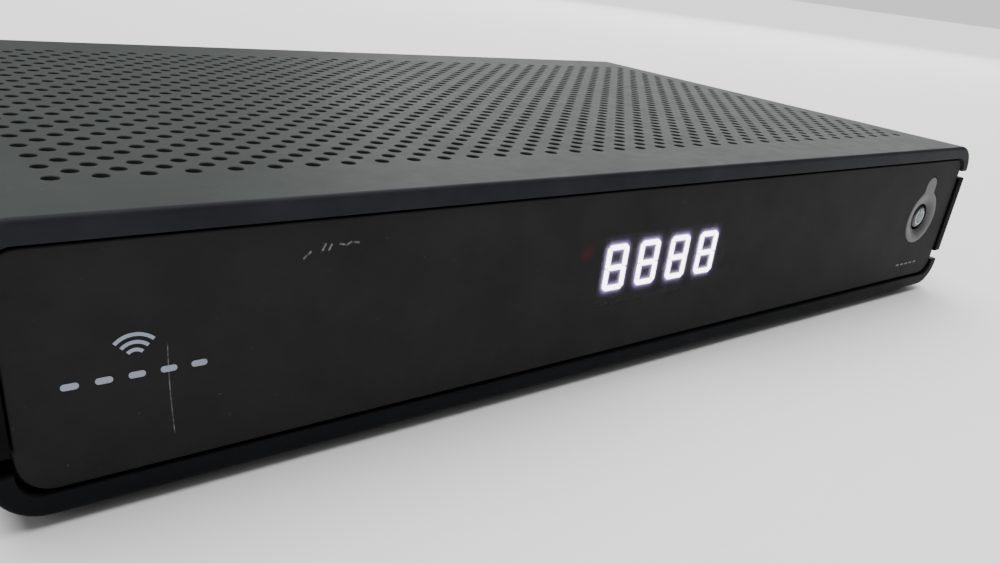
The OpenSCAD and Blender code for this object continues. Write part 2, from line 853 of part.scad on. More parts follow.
// The middle bar, pointed at both ends
module middle_segment() {
  reach = digit_w / 2 - stroke / 2 - segment_gap;
  polygon([[-reach, 0], [stroke / 2 - reach, stroke / 2], [reach - stroke / 2, stroke / 2],
    [reach, 0], [reach - stroke / 2, -stroke / 2], [stroke / 2 - reach, -stroke / 2]]);
}
module digit() {
  middle_segment();
  for (flip = [0, 1]) mirror([0, flip]) {
    top_segment();
    for (turn = [0, 1]) mirror([turn, 0]) side_segment();
  }
}

module display_segments() {
  color("#f3f0ff")
  along_y(segment_y, segment_t)
    for (i = [0:digit_count - 1])
      translate([(i - (digit_count - 1) / 2) * digit_pitch, display_z]) digit();
}

module status_light() {
  flange_r = light_d / 2 + 0.4;
  flange_t = 1;
  body_l = 3.5;
  color("#7c1c1c") {
    rod_y(light_x, front_board_y - flange_t, light_z, flange_r, flange_t);
    rod_y(light_x, front_board_y - flange_t - body_l, light_z, light_d / 2, body_l);
    translate([light_x, front_board_y - flange_t - body_l, light_z]) sphere(d = light_d);
  }
}

module infrared_receiver() {
  color("#161618") {
    block(infrared_x, front_board_y - infrared_d, display_z - infrared_h / 2,
      [infrared_w, infrared_d, infrared_h]);
    translate([infrared_x, front_board_y - infrared_d, display_z]) sphere(r = infrared_r);
  }
}

module front_board() {
  hole_gap = 0.2;
  color("#1e5a34")
  difference() {
    translate([front_board_x0, front_board_y, front_board_z])
      cube([front_board_x1 - front_board_x0, front_board_t, front_board_h]);
    for (p = boss_spots)
      rod_y(p[0], front_board_y - cut, p[1], boss_pilot_r + hole_gap, front_board_t + 2 * cut);
  }
}

module front_board_screws() {
  head_r = 1.9;
  head_h = 1.4;
  color("#8d9094")
  for (p = boss_spots) {
    rod_y(p[0], front_board_back - board_screw_l, p[1], boss_pilot_r, board_screw_l);
    rod_y(p[0], front_board_back, p[1], head_r, head_h);
  }
}

module power_switch() {
  color("#202124")
  difference() {
    block(key_x, switch_y, key_z - switch_w / 2, [switch_w, switch_d, switch_w]);
    rod_y(key_x, switch_y - cut, key_z, plunger_r + plunger_gap, plunger_well + cut);
  }
}

module switch_plunger() {
  color("#8a3a30")
  rod_y(key_x, plunger_y, key_z, plunger_r, switch_y - plunger_y + plunger_tail);
}

// A strip that leaves the front board's socket level and bends down into the main board's
module ribbon_cable() {
  high = board_top + socket_h + ribbon_r;
  low = board_top + socket_h;
  bend_y = board_y0 + socket_d / 2 + ribbon_r / 2 - ribbon_r;
  start_y = front_board_back + socket_d;
  color("#d8d9d6")
  translate([ribbon_x - ribbon_w / 2, 0, 0]) rotate([90, 0, 90]) linear_extrude(height = ribbon_w) {
    polygon(concat(
      [for (k = [0:arc_steps]) let (a = 90 * k / arc_steps)
        [bend_y + ribbon_r * cos(a), low + ribbon_r * sin(a)]],
      [[start_y, high], [start_y, high - ribbon_t]],
      [for (k = [arc_steps:-1:0]) let (a = 90 * k / arc_steps)
        [bend_y + (ribbon_r - ribbon_t) * cos(a), low + (ribbon_r - ribbon_t) * sin(a)]]
    ));
  }
}

module ribbon_sockets() {
  main_y = board_y0 + socket_d / 2 + ribbon_r / 2 - ribbon_t / 2;
  front_z = board_top + socket_h + ribbon_r - ribbon_t / 2;
  color("#e6e0cc") {
    block(ribbon_x, front_board_back, front_z - socket_h / 2, [socket_w, socket_d, socket_h]);
    chip(ribbon_x, main_y, board_top, [socket_w, socket_d, socket_h]);
  }
}

module main_board() {
  color("#1f6a3b")
  difference() {
    block(0, board_y0, board_z, [board_w, board_y1 - board_y0, board_t]);
    for (p = standoff_spots)
      translate([p[0], p[1], board_z - cut]) cylinder(r = board_hole_r, h = board_t + 2 * cut);
    for (p = sink_pin_spots)
      translate([p[0], p[1], board_z - cut]) cylinder(r = pin_r, h = board_t + 2 * cut);
  }
}

module main_board_screws() {
  color("#a3a6aa")
  for (p = standoff_spots) {
    translate([p[0], p[1], board_top]) cylinder(r = board_head_r, h = board_head_h);
    translate([p[0], p[1], board_z - standoff_pilot_l])
      cylinder(r = standoff_pilot_r, h = standoff_pilot_l + board_t + board_head_h / 2);
  }
}

module processor() {
  color("#232427")
  chip(soc_x, soc_y, board_top, [soc_w, soc_w, soc_h]);
}

module thermal_pad() {
  color("#8fa3b8")
  chip(soc_x, soc_y, board_top + soc_h, [soc_w, soc_w, pad_t]);
}

module heat_sink() {
  color("#2d2e30")
  difference() {
    union() {
      chip(soc_x, soc_y, sink_z, [sink_w, sink_w, sink_base]);
      for (i = [0:fin_count - 1])
        chip(soc_x + (i - (fin_count - 1) / 2) * (sink_w - fin_t) / (fin_count - 1), soc_y, sink_z,
          [fin_t, sink_w, sink_h]);
    }
    for (p = sink_pin_spots)
      translate([p[0], p[1], sink_z - cut]) cylinder(r = pin_r, h = sink_base + cut);
    for (p = sink_pin_spots)
      translate([p[0], p[1], sink_z + sink_base])
        cylinder(r = pin_head_r + port_gap, h = sink_h);
  }
}

module heat_sink_pins() {
  head_h = 2;
  tail = 3;
  color("#d8c9a0")
  for (p = sink_pin_spots) {
    translate([p[0], p[1], sink_z + sink_base]) cylinder(r = pin_head_r, h = head_h);
    translate([p[0], p[1], board_z - tail])
      cylinder(r = pin_r, h = sink_z + sink_base + head_h / 2 - board_z + tail);
  }
}

module memory_chips() {
  color("#26272a")
  for (p = memory_spots) chip(p[0], p[1], board_top, memory_size);
}

module flash_chip() {
  color("#2b2c2f")
  chip(flash_x, soc_y, board_top, flash_size);
}

// A can with round ends beside the processor
module crystal() {
  gap = 6;
  length = crystal_size[0];
  width = crystal_size[1];
  color("#b9bcc0")
  translate([soc_x, soc_y - sink_w / 2 - gap, board_top]) linear_extrude(height = crystal_size[2])
    bar_outline(length, width);
}

module tuner_shield() {
  inner = [tuner_size[0] - 2 * tuner_wall, tuner_size[1] - 2 * tuner_wall, tuner_size[2]];
  vent_r = 1;
  vent_pitch = 6;
  color("#aeb1b4")
  difference() {
    block(tuner_x, tuner_y, board_top, tuner_size);
    block(tuner_x, tuner_y + tuner_wall, board_top - tuner_wall, inner);
    for (i = [-1:1]) for (k = [-2:2])
      translate([tuner_x + i * vent_pitch, tuner_y + tuner_size[1] / 2 + k * vent_pitch, board_top])
        cylinder(r = vent_r, h = tuner_size[2] + cut);
  }
}

module tuner_chip() {
  color("#232427")
  chip(tuner_x, tuner_y + tuner_size[1] / 2, board_top, tuner_chip_size);
}

module capacitors() {
  color("#3b3f55")
  for (p = capacitor_spots)
    translate([p[0], p[1], board_top]) cylinder(r = can_r, h = can_h);
}

module inductors() {
  color("#3a3a3c")
  for (p = inductor_spots) chip(p[0], p[1], board_top, inductor_size);
}

// A connector's outline in the rear panel, with its clearance
module port_cutout(x, z, size) {
  block(x, panel_y - cut, z - port_gap,
    [size[0] + 2 * port_gap, panel_t + 2 * cut, size[2] + 2 * port_gap]);
}

module rear_panel() {
  color("#1e1f21")
  difference() {
    along_y(panel_y, panel_t) case_outline(wall + panel_gap);
    port_cutout(ethernet_x, board_top, ethernet_size);
    port_cutout(video_x, board_top, video_size);
    port_cutout(data_x, board_top, data_size);
    port_cutout(optical_x, board_top, optical_size);
    port_cutout(inlet_x, board_top, inlet_size);
    rod_y(coax_x, panel_y - cut, coax_z, coax_r + port_gap, panel_t + 2 * cut);
    rod_y(audio_x, panel_y - cut, audio_z, audio_collar_r + port_gap, panel_t + 2 * cut);
    rod_y(reset_x, panel_y - cut, reset_z, reset_hole_r, panel_t + 2 * cut);
  }
}

module coax_connector() {
  color("#b7babd")
  difference() {
    union() {
      block(coax_x, panel_y - coax_block_d, board_top, [coax_block, coax_block_d, coax_block]);
      rod_y(coax_x, panel_y - wall, coax_z, coax_root_r, y_back + coax_reach - panel_y + wall);
      rod_y(coax_x, y_back + coax_reach - coax_thread_l, coax_z, coax_r, coax_thread_l);
    }
    rod_y(coax_x, panel_y - coax_block_d / 2, coax_z, insulator_r, coax_block_d + coax_reach + panel_t + cut);
  }
}

module coax_insulator() {
  start = panel_y - coax_block_d / 2;
  depth = y_back + coax_reach - insulator_sink - start;
  throat = 2;
  color("#e9e9e6")
  difference() {
    rod_y(coax_x, start, coax_z, insulator_r, depth);
    rod_y(coax_x, start - cut, coax_z, contact_r, depth - throat + cut);
    rod_y(coax_x, start, coax_z, wire_r, depth + cut);
  }
}

module coax_contact() {
  start = panel_y - coax_block_d / 2;
  length = 12;
  color("#c9a24a")
  difference() {
    rod_y(coax_x, start, coax_z, contact_r, length);
    rod_y(coax_x, start + cut, coax_z, wire_r, length);
  }
}

module coax_washer() {
  color("#c8cacc")
  difference() {
    rod_y(coax_x, y_back - panel_sink, coax_z, washer_r, washer_t);
    rod_y(coax_x, y_back - panel_sink - cut, coax_z, coax_root_r, washer_t + 2 * cut);
  }
}

module coax_nut() {
  nut_y = y_back - panel_sink + washer_t;
  color("#b9bcbf")
  difference() {
    along_y(nut_y, nut_t) translate([coax_x, coax_z]) circle(r = nut_flats / 2 / cos(30), $fn = 6);
    rod_y(coax_x, nut_y - cut, coax_z, coax_root_r, nut_t + 2 * cut);
  }
}

module ethernet_jack() {
  plug_z = board_top + ethernet_plug_z;
  lamp_z = board_top + ethernet_size[2] - lamp_size[2] - sheet;
  color("#1b1c1e")
  difference() {
    block(ethernet_x, port_y - ethernet_size[1], board_top, ethernet_size);
    block(ethernet_x, port_y - ethernet_plug_d, plug_z,
      [ethernet_plug_w, ethernet_plug_d + cut, ethernet_plug_h]);
    block(ethernet_x, port_y - ethernet_plug_d, plug_z - latch_h,
      [latch_w, ethernet_plug_d + cut, latch_h + cut]);
    for (side = [-1, 1])
      block(ethernet_x + side * (ethernet_size[0] / 2 - lamp_size[0] / 2 - sheet),
        port_y - lamp_size[1], lamp_z, [lamp_size[0], lamp_size[1] + cut, lamp_size[2]]);
  }
}

// Eight sprung wires that slope down from the roof of the plug's space
module ethernet_contacts() {
  wires = 8;
  length = 7;
  start = 3;
  roof = board_top + ethernet_plug_z + ethernet_plug_h;
  color("#c9a24a")
  for (i = [0:wires - 1])
    translate([ethernet_x + (i - (wires - 1) / 2) * contact_pitch - contact_w / 2, port_y - start, roof])
      rotate([180 + contact_slope, 0, 0]) cube([contact_w, length, contact_w]);
}

module ethernet_lights() {
  lamp_z = board_top + ethernet_size[2] - lamp_size[2] - sheet;
  color("#a7b86a")
  for (side = [-1, 1])
    block(ethernet_x + side * (ethernet_size[0] / 2 - lamp_size[0] / 2 - sheet),
      port_y - lamp_size[1], lamp_z, lamp_size);
}

// The video shell's outline, with slanted lower corners
module video_outline(inset) {
  half = video_size[0] / 2 - inset;
  low = board_top + inset;
  high = board_top + video_size[2] - inset;
  polygon([[video_x - half, high], [video_x - half, low + video_slant],
    [video_x - half + video_slant, low], [video_x + half - video_slant, low],
    [video_x + half, low + video_slant], [video_x + half, high]]);
}

module video_port() {
  color("#b4b7ba")
  difference() {
    along_y(port_y - video_size[1], video_size[1]) video_outline(0);
    along_y(port_y - video_size[1] + port_floor, video_size[1]) video_outline(sheet);
  }
}

module video_tongue() {
  color("#141516")
  block(video_x, port_y - video_size[1] + port_floor,
    board_top + (video_size[2] - video_tongue_size[2]) / 2, video_tongue_size);
}

module data_port() {
  color("#b4b7ba")
  difference() {
    block(data_x, port_y - data_size[1], board_top, data_size);
    block(data_x, port_y - data_size[1] + port_floor, board_top + sheet,
      [data_size[0] - 2 * sheet, data_size[1], data_size[2] - 2 * sheet]);
  }
}

module data_tongue() {
  color("#1a1b1c")
  block(data_x, port_y - data_size[1] + port_floor,
    board_top + data_size[2] - sheet - data_tongue_drop - data_tongue_size[2], data_tongue_size);
}

module optical_port() {
  pocket_z = optical_z + optical_plug - cut;
  color("#161718")
  difference() {
    block(optical_x, port_y - optical_size[1], board_top, optical_size);
    block(optical_x, port_y - optical_plug_d, optical_z,
      [optical_plug, optical_plug_d + cut, optical_plug]);
    block(optical_x, port_y - optical_plug_d, pocket_z,
      [optical_plug, optical_plug_d - shutter_sink + shutter_gap, shutter_pocket + cut]);
    translate([optical_x - optical_plug / 2 - hinge_l - hinge_gap, hinge_y, hinge_z])
      rotate([0, 90, 0])
        cylinder(r = hinge_r + hinge_gap, h = optical_plug + 2 * (hinge_l + hinge_gap));
  }
}

// A flap that hangs on a pin in the port's side walls and swings inwards
module optical_shutter() {
  width = optical_plug - 2 * shutter_gap;
  color("#303235") {
    block(optical_x, hinge_y - shutter_t / 2, optical_z + shutter_gap,
      [width, shutter_t, hinge_z - optical_z - shutter_gap]);
    translate([optical_x - optical_plug / 2 - hinge_l, hinge_y, hinge_z]) rotate([0, 90, 0])
      cylinder(r = hinge_r, h = optical_plug + 2 * hinge_l);
  }
}

module optical_emitter() {
  color("#7a2a26")
  rod_y(optical_x, port_y - optical_plug_d, optical_z + optical_plug / 2, emitter_r, emitter_l);
}

module audio_jack() {
  color("#1b1c1e")
  difference() {
    union() {
      block(audio_x, panel_y - audio_size[1], board_top, audio_size);
      rod_y(audio_x, panel_y - wall, audio_z, audio_collar_r, port_y - panel_y + wall);
    }
    rod_y(audio_x, port_y - audio_bore_l, audio_z, audio_bore_r, audio_bore_l + cut);
  }
}

module reset_switch() {
  front = panel_y - reset_l - plunger_gap;
  color("#222326")
  difference() {
    block(reset_x, front - reset_size[1], board_top, reset_size);
    rod_y(reset_x, front - reset_tail - reset_travel - plunger_gap, reset_z,
      reset_r + plunger_gap, reset_size[1]);
  }
}

module reset_button() {
  front = panel_y - reset_l - plunger_gap;
  color("#a13a30")
  rod_y(reset_x, front - reset_tail, reset_z, reset_r, reset_tail + reset_l);
}

module power_inlet() {
  color("#18191a")
  difference() {
    block(inlet_x, port_y - inlet_size[1], board_top, inlet_size);
    rod_y(inlet_x, port_y - inlet_l, inlet_z, inlet_r, inlet_l + cut);
  }
}

module power_inlet_pin() {
  tip_gap = 1.5;
  color("#c3c5c7")
  rod_y(inlet_x, port_y - inlet_l, inlet_z, inlet_pin_r, inlet_l - tip_gap);
}

top_cover();
base_tray();
side_rail_left();
side_rail_right();
case_screws();
rubber_feet();
bottom_label();
front_fascia();
fascia_emblem();
fascia_print();
keyhole_trim();
power_button();
power_icon();
display_housing();
display_segments();
status_light();
infrared_receiver();
front_board();
front_board_screws();
power_switch();
switch_plunger();
ribbon_cable();
ribbon_sockets();
main_board();
main_board_screws();
processor();
thermal_pad();
heat_sink();
heat_sink_pins();
memory_chips();
flash_chip();
crystal();
tuner_shield();
tuner_chip();
capacitors();
inductors();
rear_panel();
coax_connector();
coax_insulator();
coax_contact();
coax_washer();
coax_nut();
ethernet_jack();
ethernet_contacts();
ethernet_lights();
video_port();
video_tongue();
data_port();
data_tongue();
optical_port();
optical_shutter();
optical_emitter();
audio_jack();
reset_switch();
reset_button();
power_inlet();
power_inlet_pin();
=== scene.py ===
import json
import math

import bmesh
import bpy
import numpy as np
from mathutils import Euler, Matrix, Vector
from mathutils.geometry import tessellate_polygon


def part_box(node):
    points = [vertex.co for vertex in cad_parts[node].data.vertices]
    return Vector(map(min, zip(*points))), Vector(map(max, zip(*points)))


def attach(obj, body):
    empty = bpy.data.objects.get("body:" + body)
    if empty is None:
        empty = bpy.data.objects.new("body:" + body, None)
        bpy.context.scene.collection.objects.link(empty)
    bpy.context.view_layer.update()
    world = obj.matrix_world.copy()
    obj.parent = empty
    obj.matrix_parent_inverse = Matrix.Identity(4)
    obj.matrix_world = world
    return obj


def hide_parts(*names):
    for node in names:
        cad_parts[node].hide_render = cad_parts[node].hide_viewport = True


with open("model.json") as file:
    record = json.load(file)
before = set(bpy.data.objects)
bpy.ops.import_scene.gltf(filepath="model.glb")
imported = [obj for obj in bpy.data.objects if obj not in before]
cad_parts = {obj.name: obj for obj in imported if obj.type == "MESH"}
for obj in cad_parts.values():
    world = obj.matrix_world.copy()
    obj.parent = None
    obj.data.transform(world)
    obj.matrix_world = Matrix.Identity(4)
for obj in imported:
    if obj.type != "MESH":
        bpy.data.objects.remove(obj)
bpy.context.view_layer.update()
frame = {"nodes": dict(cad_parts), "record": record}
slotOf = {part["node"]: part["material_slot"] for part in frame["record"]["subparts"]}
bodyOf = {node: body for body, nodes in frame["record"]["behaviour"]["bodies"].items() for node in nodes}
print("frame loaded:", len(frame["nodes"]), "nodes")

# lengths are written as a number times mm; the shell's own corners give every other place
mm = 0.001
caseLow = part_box("base_tray")[0]
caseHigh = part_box("top_cover")[1]
caseFront = caseLow.y
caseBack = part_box("top_cover")[1].y
caseHalf = caseHigh.x
tiny = 1e-7
weld = mm / 1000

# the power button's axis runs front to back through (keyX, keyZ)
keyX = (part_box("power_button")[0].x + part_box("power_button")[1].x) / 2
keyZ = (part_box("power_button")[0].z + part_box("power_button")[1].z) / 2


# corners of a grid as quads: cell (i, j) joins points i..i+1 and j..j+1
def gridQuads(rows, columns, closeRows=False, closeColumns=False):
    index = np.arange(rows * columns).reshape(rows, columns)
    if closeRows:
        index = np.vstack([index, index[:1]])
    if closeColumns:
        index = np.hstack([index, index[:, :1]])
    corners = [index[:-1, :-1], index[1:, :-1], index[1:, 1:], index[:-1, 1:]]
    return np.stack(corners, -1).reshape(-1, 4)


# a grid of points (rows, columns, 3) as loose quads
def gridSoup(points, closeRows=False, closeColumns=False):
    rows, columns = points.shape[:2]
    return points.reshape(-1, 3)[gridQuads(rows, columns, closeRows, closeColumns)]


# part of a circle: centre + radius * (cos a, sin a)
def arcPoints(centreX, centreZ, radius, start, end, steps):
    angle = np.radians(np.linspace(start, end, steps + 1))
    return np.stack([centreX + radius * np.cos(angle), centreZ + radius * np.sin(angle)], 1)


# a closed rounded rectangle, anticlockwise from its right upper corner
def roundedLoop(left, right, low, high, lowRadius, highRadius, steps=8):
    return np.vstack([
        arcPoints(right - highRadius, high - highRadius, highRadius, 0, 90, steps),
        arcPoints(left + highRadius, high - highRadius, highRadius, 90, 180, steps),
        arcPoints(left + lowRadius, low + lowRadius, lowRadius, 180, 270, steps),
        arcPoints(right - lowRadius, low + lowRadius, lowRadius, 270, 360, steps)])


# each point moves along the mean of its two edge normals, inwards on an anticlockwise loop
def insetLoop(loop, distance):
    ahead = np.roll(loop, -1, 0) - loop
    ahead = ahead / np.maximum(np.linalg.norm(ahead, axis=1, keepdims=True), tiny * tiny)
    normal = np.stack([-ahead[:, 1], ahead[:, 0]], 1)
    mean = normal + np.roll(normal, 1, 0)
    size = (mean ** 2).sum(1, keepdims=True) / 2
    return loop + mean * (distance / np.maximum(size, 0.5))


# a closed ring of (x, z) points set at one depth y
def atDepth(loop, y):
    return np.stack([loop[:, 0], np.full(len(loop), y), loop[:, 1]], 1)


# a closed ring of (x, y) points set at one height z
def atHeight(loop, z):
    return np.concatenate([loop, np.full((len(loop), 1), z)], 1)


# a flat area at one depth between an outer ring and its holes, cut into triangles
def flatArea(loops, y):
    points = np.vstack([atDepth(loop, y) for loop in loops])
    flat = [[(x, z, 0) for x, z in loop] for loop in loops]
    return [points[list(corner)] for corner in tessellate_polygon(flat)]


# rings of (x, z) points, each at its own depth, joined one to the next
def loftLoops(loops, depths):
    return gridSoup(np.stack([atDepth(loop, y) for loop, y in zip(loops, depths)]), closeColumns=True)


# rings of (x, y) points, each at its own height, joined one to the next
def liftLoops(loops, heights):
    return gridSoup(np.stack([atHeight(loop, z) for loop, z in zip(loops, heights)]), closeColumns=True)


# a profile of (radius, place) pairs turned round an axis along "y" or "z" through centre
def turned(profile, centre, direction, steps=48):
    profile = np.asarray(profile, float)
    angle = np.linspace(0, 2 * math.pi, steps, endpoint=False)
    across = profile[:, :1] * np.cos(angle)
    other = profile[:, :1] * np.sin(angle)
    along = np.repeat(profile[:, 1:], steps, 1)
    parts = (across, along, other) if direction == "y" else (across, other, along)
    return gridSoup(np.stack(parts, -1) + np.asarray(centre), closeColumns=True)


# one solid from loose quads and many-sided faces: corners closer than a micrometre become one
def solidFromSoup(name, quads, polygons=(), sharp=32):
    quads = np.asarray(quads, float).reshape(-1, 4, 3)
    loose = [np.asarray(polygon, float) for polygon in polygons]
    points = np.vstack([quads.reshape(-1, 3)] + loose)
    rounded = np.round(points / weld).astype(np.int64)
    first, inverse = np.unique(rounded, axis=0, return_index=True, return_inverse=True)[1:]
    inverse = inverse.reshape(-1)
    faces = inverse[:len(quads) * 4].reshape(-1, 4).tolist()
    start = len(quads) * 4
    for polygon in loose:
        faces.append(inverse[start:start + len(polygon)].tolist())
        start += len(polygon)
    rings = [[corner for k, corner in enumerate(face) if corner != face[k - 1]] for face in faces]
    mesh = bpy.data.meshes.new(name)
    mesh.from_pydata(points[first].tolist(), [], [ring for ring in rings if len(set(ring)) > 2])
    mesh.validate()
    work = bmesh.new()
    work.from_mesh(mesh)
    bmesh.ops.recalc_face_normals(work, faces=work.faces)
    work.to_mesh(mesh)
    work.free()
    return placeMesh(name, mesh, sharp)


def placeMesh(name, mesh, sharp=32):
    mesh.polygons.foreach_set("use_smooth", np.ones(len(mesh.polygons), bool))
    mesh.set_sharp_from_angle(angle=math.radians(sharp))
    piece = bpy.data.objects.new(name, mesh)
    bpy.context.scene.collection.objects.link(piece)
    return piece


# the piece takes over from CAD nodes: their body, their slot and that slot's finish
def standFor(piece, *nodes):
    slot = slotOf[nodes[0]]
    piece.data.materials.clear()
    piece.data.materials.append(finishes[slot])
    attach(piece, bodyOf[nodes[0]])
    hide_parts(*nodes)
    return piece


softening = {"flatWithin": 1, "edgeAngle": 35, "steps": 2}


# a merged copy of a CAD node with its sharp edges rounded over
def softened(node, width):
    work = bmesh.new()
    work.from_mesh(frame["nodes"][node].data)
    bmesh.ops.remove_doubles(work, verts=work.verts, dist=weld)
    flat = math.radians(softening["flatWithin"])
    bmesh.ops.dissolve_limit(work, angle_limit=flat, verts=work.verts, edges=work.edges)
    mesh = bpy.data.meshes.new(node + "_soft")
    work.to_mesh(mesh)
    work.free()
    for layer in [a.name for a in mesh.attributes if a.name == "custom_normal"]:
        mesh.attributes.remove(mesh.attributes[layer])
    piece = placeMesh(node + "_soft", mesh)
    bevel = piece.modifiers.new("edges", "BEVEL")
    bevel.width = width
    bevel.segments = softening["steps"]
    bevel.limit_method = "ANGLE"
    bevel.angle_limit = math.radians(softening["edgeAngle"])
    bevel.harden_normals = True
    return standFor(piece, node)


# a material whose shader's constant sockets, named with _ for a space, hold the values given
def startMaterial(name, **sockets):
    material = bpy.data.materials.new(name)
    material.use_nodes = True
    for socket, value in sockets.items():
        material.node_tree.nodes["Principled BSDF"].inputs[socket.replace("_", " ")].default_value = value
    return material, material.node_tree


# joins node outputs to the shader's sockets, named the same way
def dress(material, **outputs):
    shader = material.node_tree.nodes["Principled BSDF"]
    for socket, output in outputs.items():
        material.node_tree.links.new(output, shader.inputs[socket.replace("_", " ")])
    return material


def addNode(tree, kind, inputs, **settings):
    item = tree.nodes.new("ShaderNode" + kind)
    for key, value in settings.items():
        setattr(item, key, value)
    for key, value in inputs.items():
        if hasattr(value, "is_linked"):
            tree.links.new(value, item.inputs[key])
        else:
            item.inputs[key].default_value = value
    return item


def objectPoint(tree, scale=(1, 1, 1)):
    place = addNode(tree, "TexCoord", {}).outputs["Object"]
    return addNode(tree, "Mapping", {"Vector": place, "Scale": scale}).outputs[0]


def axisOf(tree, axis):
    place = addNode(tree, "TexCoord", {}).outputs["Object"]
    return addNode(tree, "SeparateXYZ", {"Vector": place}).outputs[axis]


def noiseOf(tree, scale, detail=3, roughness=0.6, stretch=(1, 1, 1)):
    inputs = {"Vector": objectPoint(tree, stretch), "Scale": scale, "Detail": detail, "Roughness": roughness}
    return addNode(tree, "TexNoise", inputs).outputs["Fac"]


def mathOf(operation, first, second=0.0):
    tree = (first if hasattr(first, "is_linked") else second).id_data
    return addNode(tree, "Math", {0: first, 1: second}, operation=operation).outputs[0]


def plus(first, second):
    return mathOf("ADD", first, second)


def minus(first, second):
    return mathOf("SUBTRACT", first, second)


def times(first, second):
    return mathOf("MULTIPLY", first, second)


def sizeOf(value):
    return mathOf("ABSOLUTE", value)


# a value that runs from low to high as the factor runs from start to end, and stays inside them
def rangeOf(factor, start, end, low, high):
    inputs = {"Value": factor, "From Min": start, "From Max": end, "To Min": low, "To Max": high}
    return addNode(factor.id_data, "MapRange", inputs).outputs["Result"]


def rampOf(factor, stops):
    item = addNode(factor.id_data, "ValToRGB", {"Fac": factor})
    ramp = item.color_ramp
    while len(ramp.elements) < len(stops):
        ramp.elements.new(0.5)
    for element, (place, colour) in zip(ramp.elements, stops):
        element.position = place
        element.color = (*colour, 1)
    return item.outputs["Color"]


def mixOf(factor, first, second):
    return addNode(factor.id_data, "Mix", {0: factor, 6: first, 7: second}, data_type="RGBA").outputs[2]


def shade(colour, value):
    return tuple(value * part for part in colour)


def bumpOf(height, strength, distance):
    inputs = {"Height": height, "Strength": strength, "Distance": distance}
    return addNode(height.id_data, "Bump", inputs).outputs["Normal"]


# two colours, a roughness or a relief that follow a noise of the given scale
def cloudy(tree, scale, dark, light, detail=3, roughness=0.6):
    return rampOf(noiseOf(tree, scale, detail, roughness), [(0.3, dark), (0.7, light)])


def uneven(tree, scale, low, high):
    return rangeOf(noiseOf(tree, scale), 0.3, 0.7, low, high)


def grainOf(tree, scale, strength, distance, roughness=0.6):
    return bumpOf(noiseOf(tree, scale, 2, roughness), strength, distance)


# light specks where a fine noise passes a threshold, as a factor from 0 to amount
def dustOf(tree, amount, scale=900, level=0.7):
    return rangeOf(noiseOf(tree, scale, 2, 0.5), level, level + 0.05, 0.0, amount)


# moulded plastic: etched grain, slow mottling of its colour and a little dust
def mouldedPlastic(name, colour, roughness, grain=2600, depth=0.35, mottle=0.12, dust=0.0, ior=1.45):
    material, tree = startMaterial(name, IOR=ior)
    base = cloudy(tree, 55, shade(colour, 1 - mottle), shade(colour, 1 + mottle), 4, 0.65)
    if dust:
        base = mixOf(dustOf(tree, dust), base, (0.4, 0.4, 0.38, 1))
    return dress(material, Base_Color=base, Roughness=uneven(tree, 180, roughness - 0.05, roughness + 0.05),
                 Normal=grainOf(tree, grain, depth, 0.04 * mm, 0.7))


# sheet or turned metal: fine lines that are short along one axis, and cloudy tarnish
def drawnMetal(name, colour, roughness, stretch=(1, 1, 30), grain=220, depth=0.12):
    material, tree = startMaterial(name, Metallic=1.0)
    base = rampOf(noiseOf(tree, 140), [(0.25, shade(colour, 0.8)), (0.75, shade(colour, 1.06))])
    lines = noiseOf(tree, grain, 4, 0.7, stretch)
    rough = rangeOf(lines, 0.3, 0.7, roughness - 0.07, roughness + 0.1)
    return dress(material, Base_Color=base, Roughness=rough, Normal=bumpOf(lines, depth, 0.02 * mm))
# how near a point of the fascia is to a scratch: 1 on the line between two (x, z) ends, 0 beyond its width
def scratchOf(tree, start, end, width):
    along = end - start
    length = float(np.hypot(*along))
    along = along / length
    x, z = minus(axisOf(tree, "X"), start[0]), minus(axisOf(tree, "Z"), start[1])
    forward = plus(times(x, along[0]), times(z, along[1]))
    sideways = minus(times(z, along[0]), times(x, along[1]))
    past = minus(sizeOf(minus(forward, length / 2)), length / 2)
    return rangeOf(mathOf("MAXIMUM", sizeOf(sideways), past), width * 0.4, width, 1.0, 0.0)


# distance of a point from an axis that runs front to back through (x, z)
def awayFrom(tree, x, z):
    across, up = minus(axisOf(tree, "X"), x), minus(axisOf(tree, "Z"), z)
    return mathOf("SQRT", plus(times(across, across), times(up, up)))


fasciaLook = {
    "colour": (0.0215, 0.0212, 0.0225),
    "roughness": 0.42,
    "ior": 1.08,
    "windowAlpha": 0.92,
    "dust": 0.07,
    "wornColour": (0.42, 0.42, 0.41, 1),
    "hairlineLow": 10.6 * mm,
    "hairlineHigh": 26.2 * mm,
    "hairlineMiddle": (-109.75 * mm, 20.5 * mm),
    "hairlineBend": 0.0030 / mm,
    "hairlineWidth": 0.1 * mm,
    "hairlineStrength": 0.42,
    "lightSpot": (-25.9 * mm, 30.2 * mm),
    "lightReach": 2.3 * mm,
    "lightColour": (0.085, 0.016, 0.018, 1),
    "scuffs": [((-88.2, 36.6), (-87.1, 37.5)), ((-85.0, 37.6), (-84.5, 38.5)),
               ((-83.9, 37.5), (-83.5, 38.3)), ((-81.9, 38.3), (-80.9, 38.0)),
               ((-80.6, 38.1), (-80.0, 38.4)), ((-79.4, 38.3), (-78.6, 38.2))],
    "scuffWidth": 0.22 * mm,
    "scuffStrength": 0.45,
}


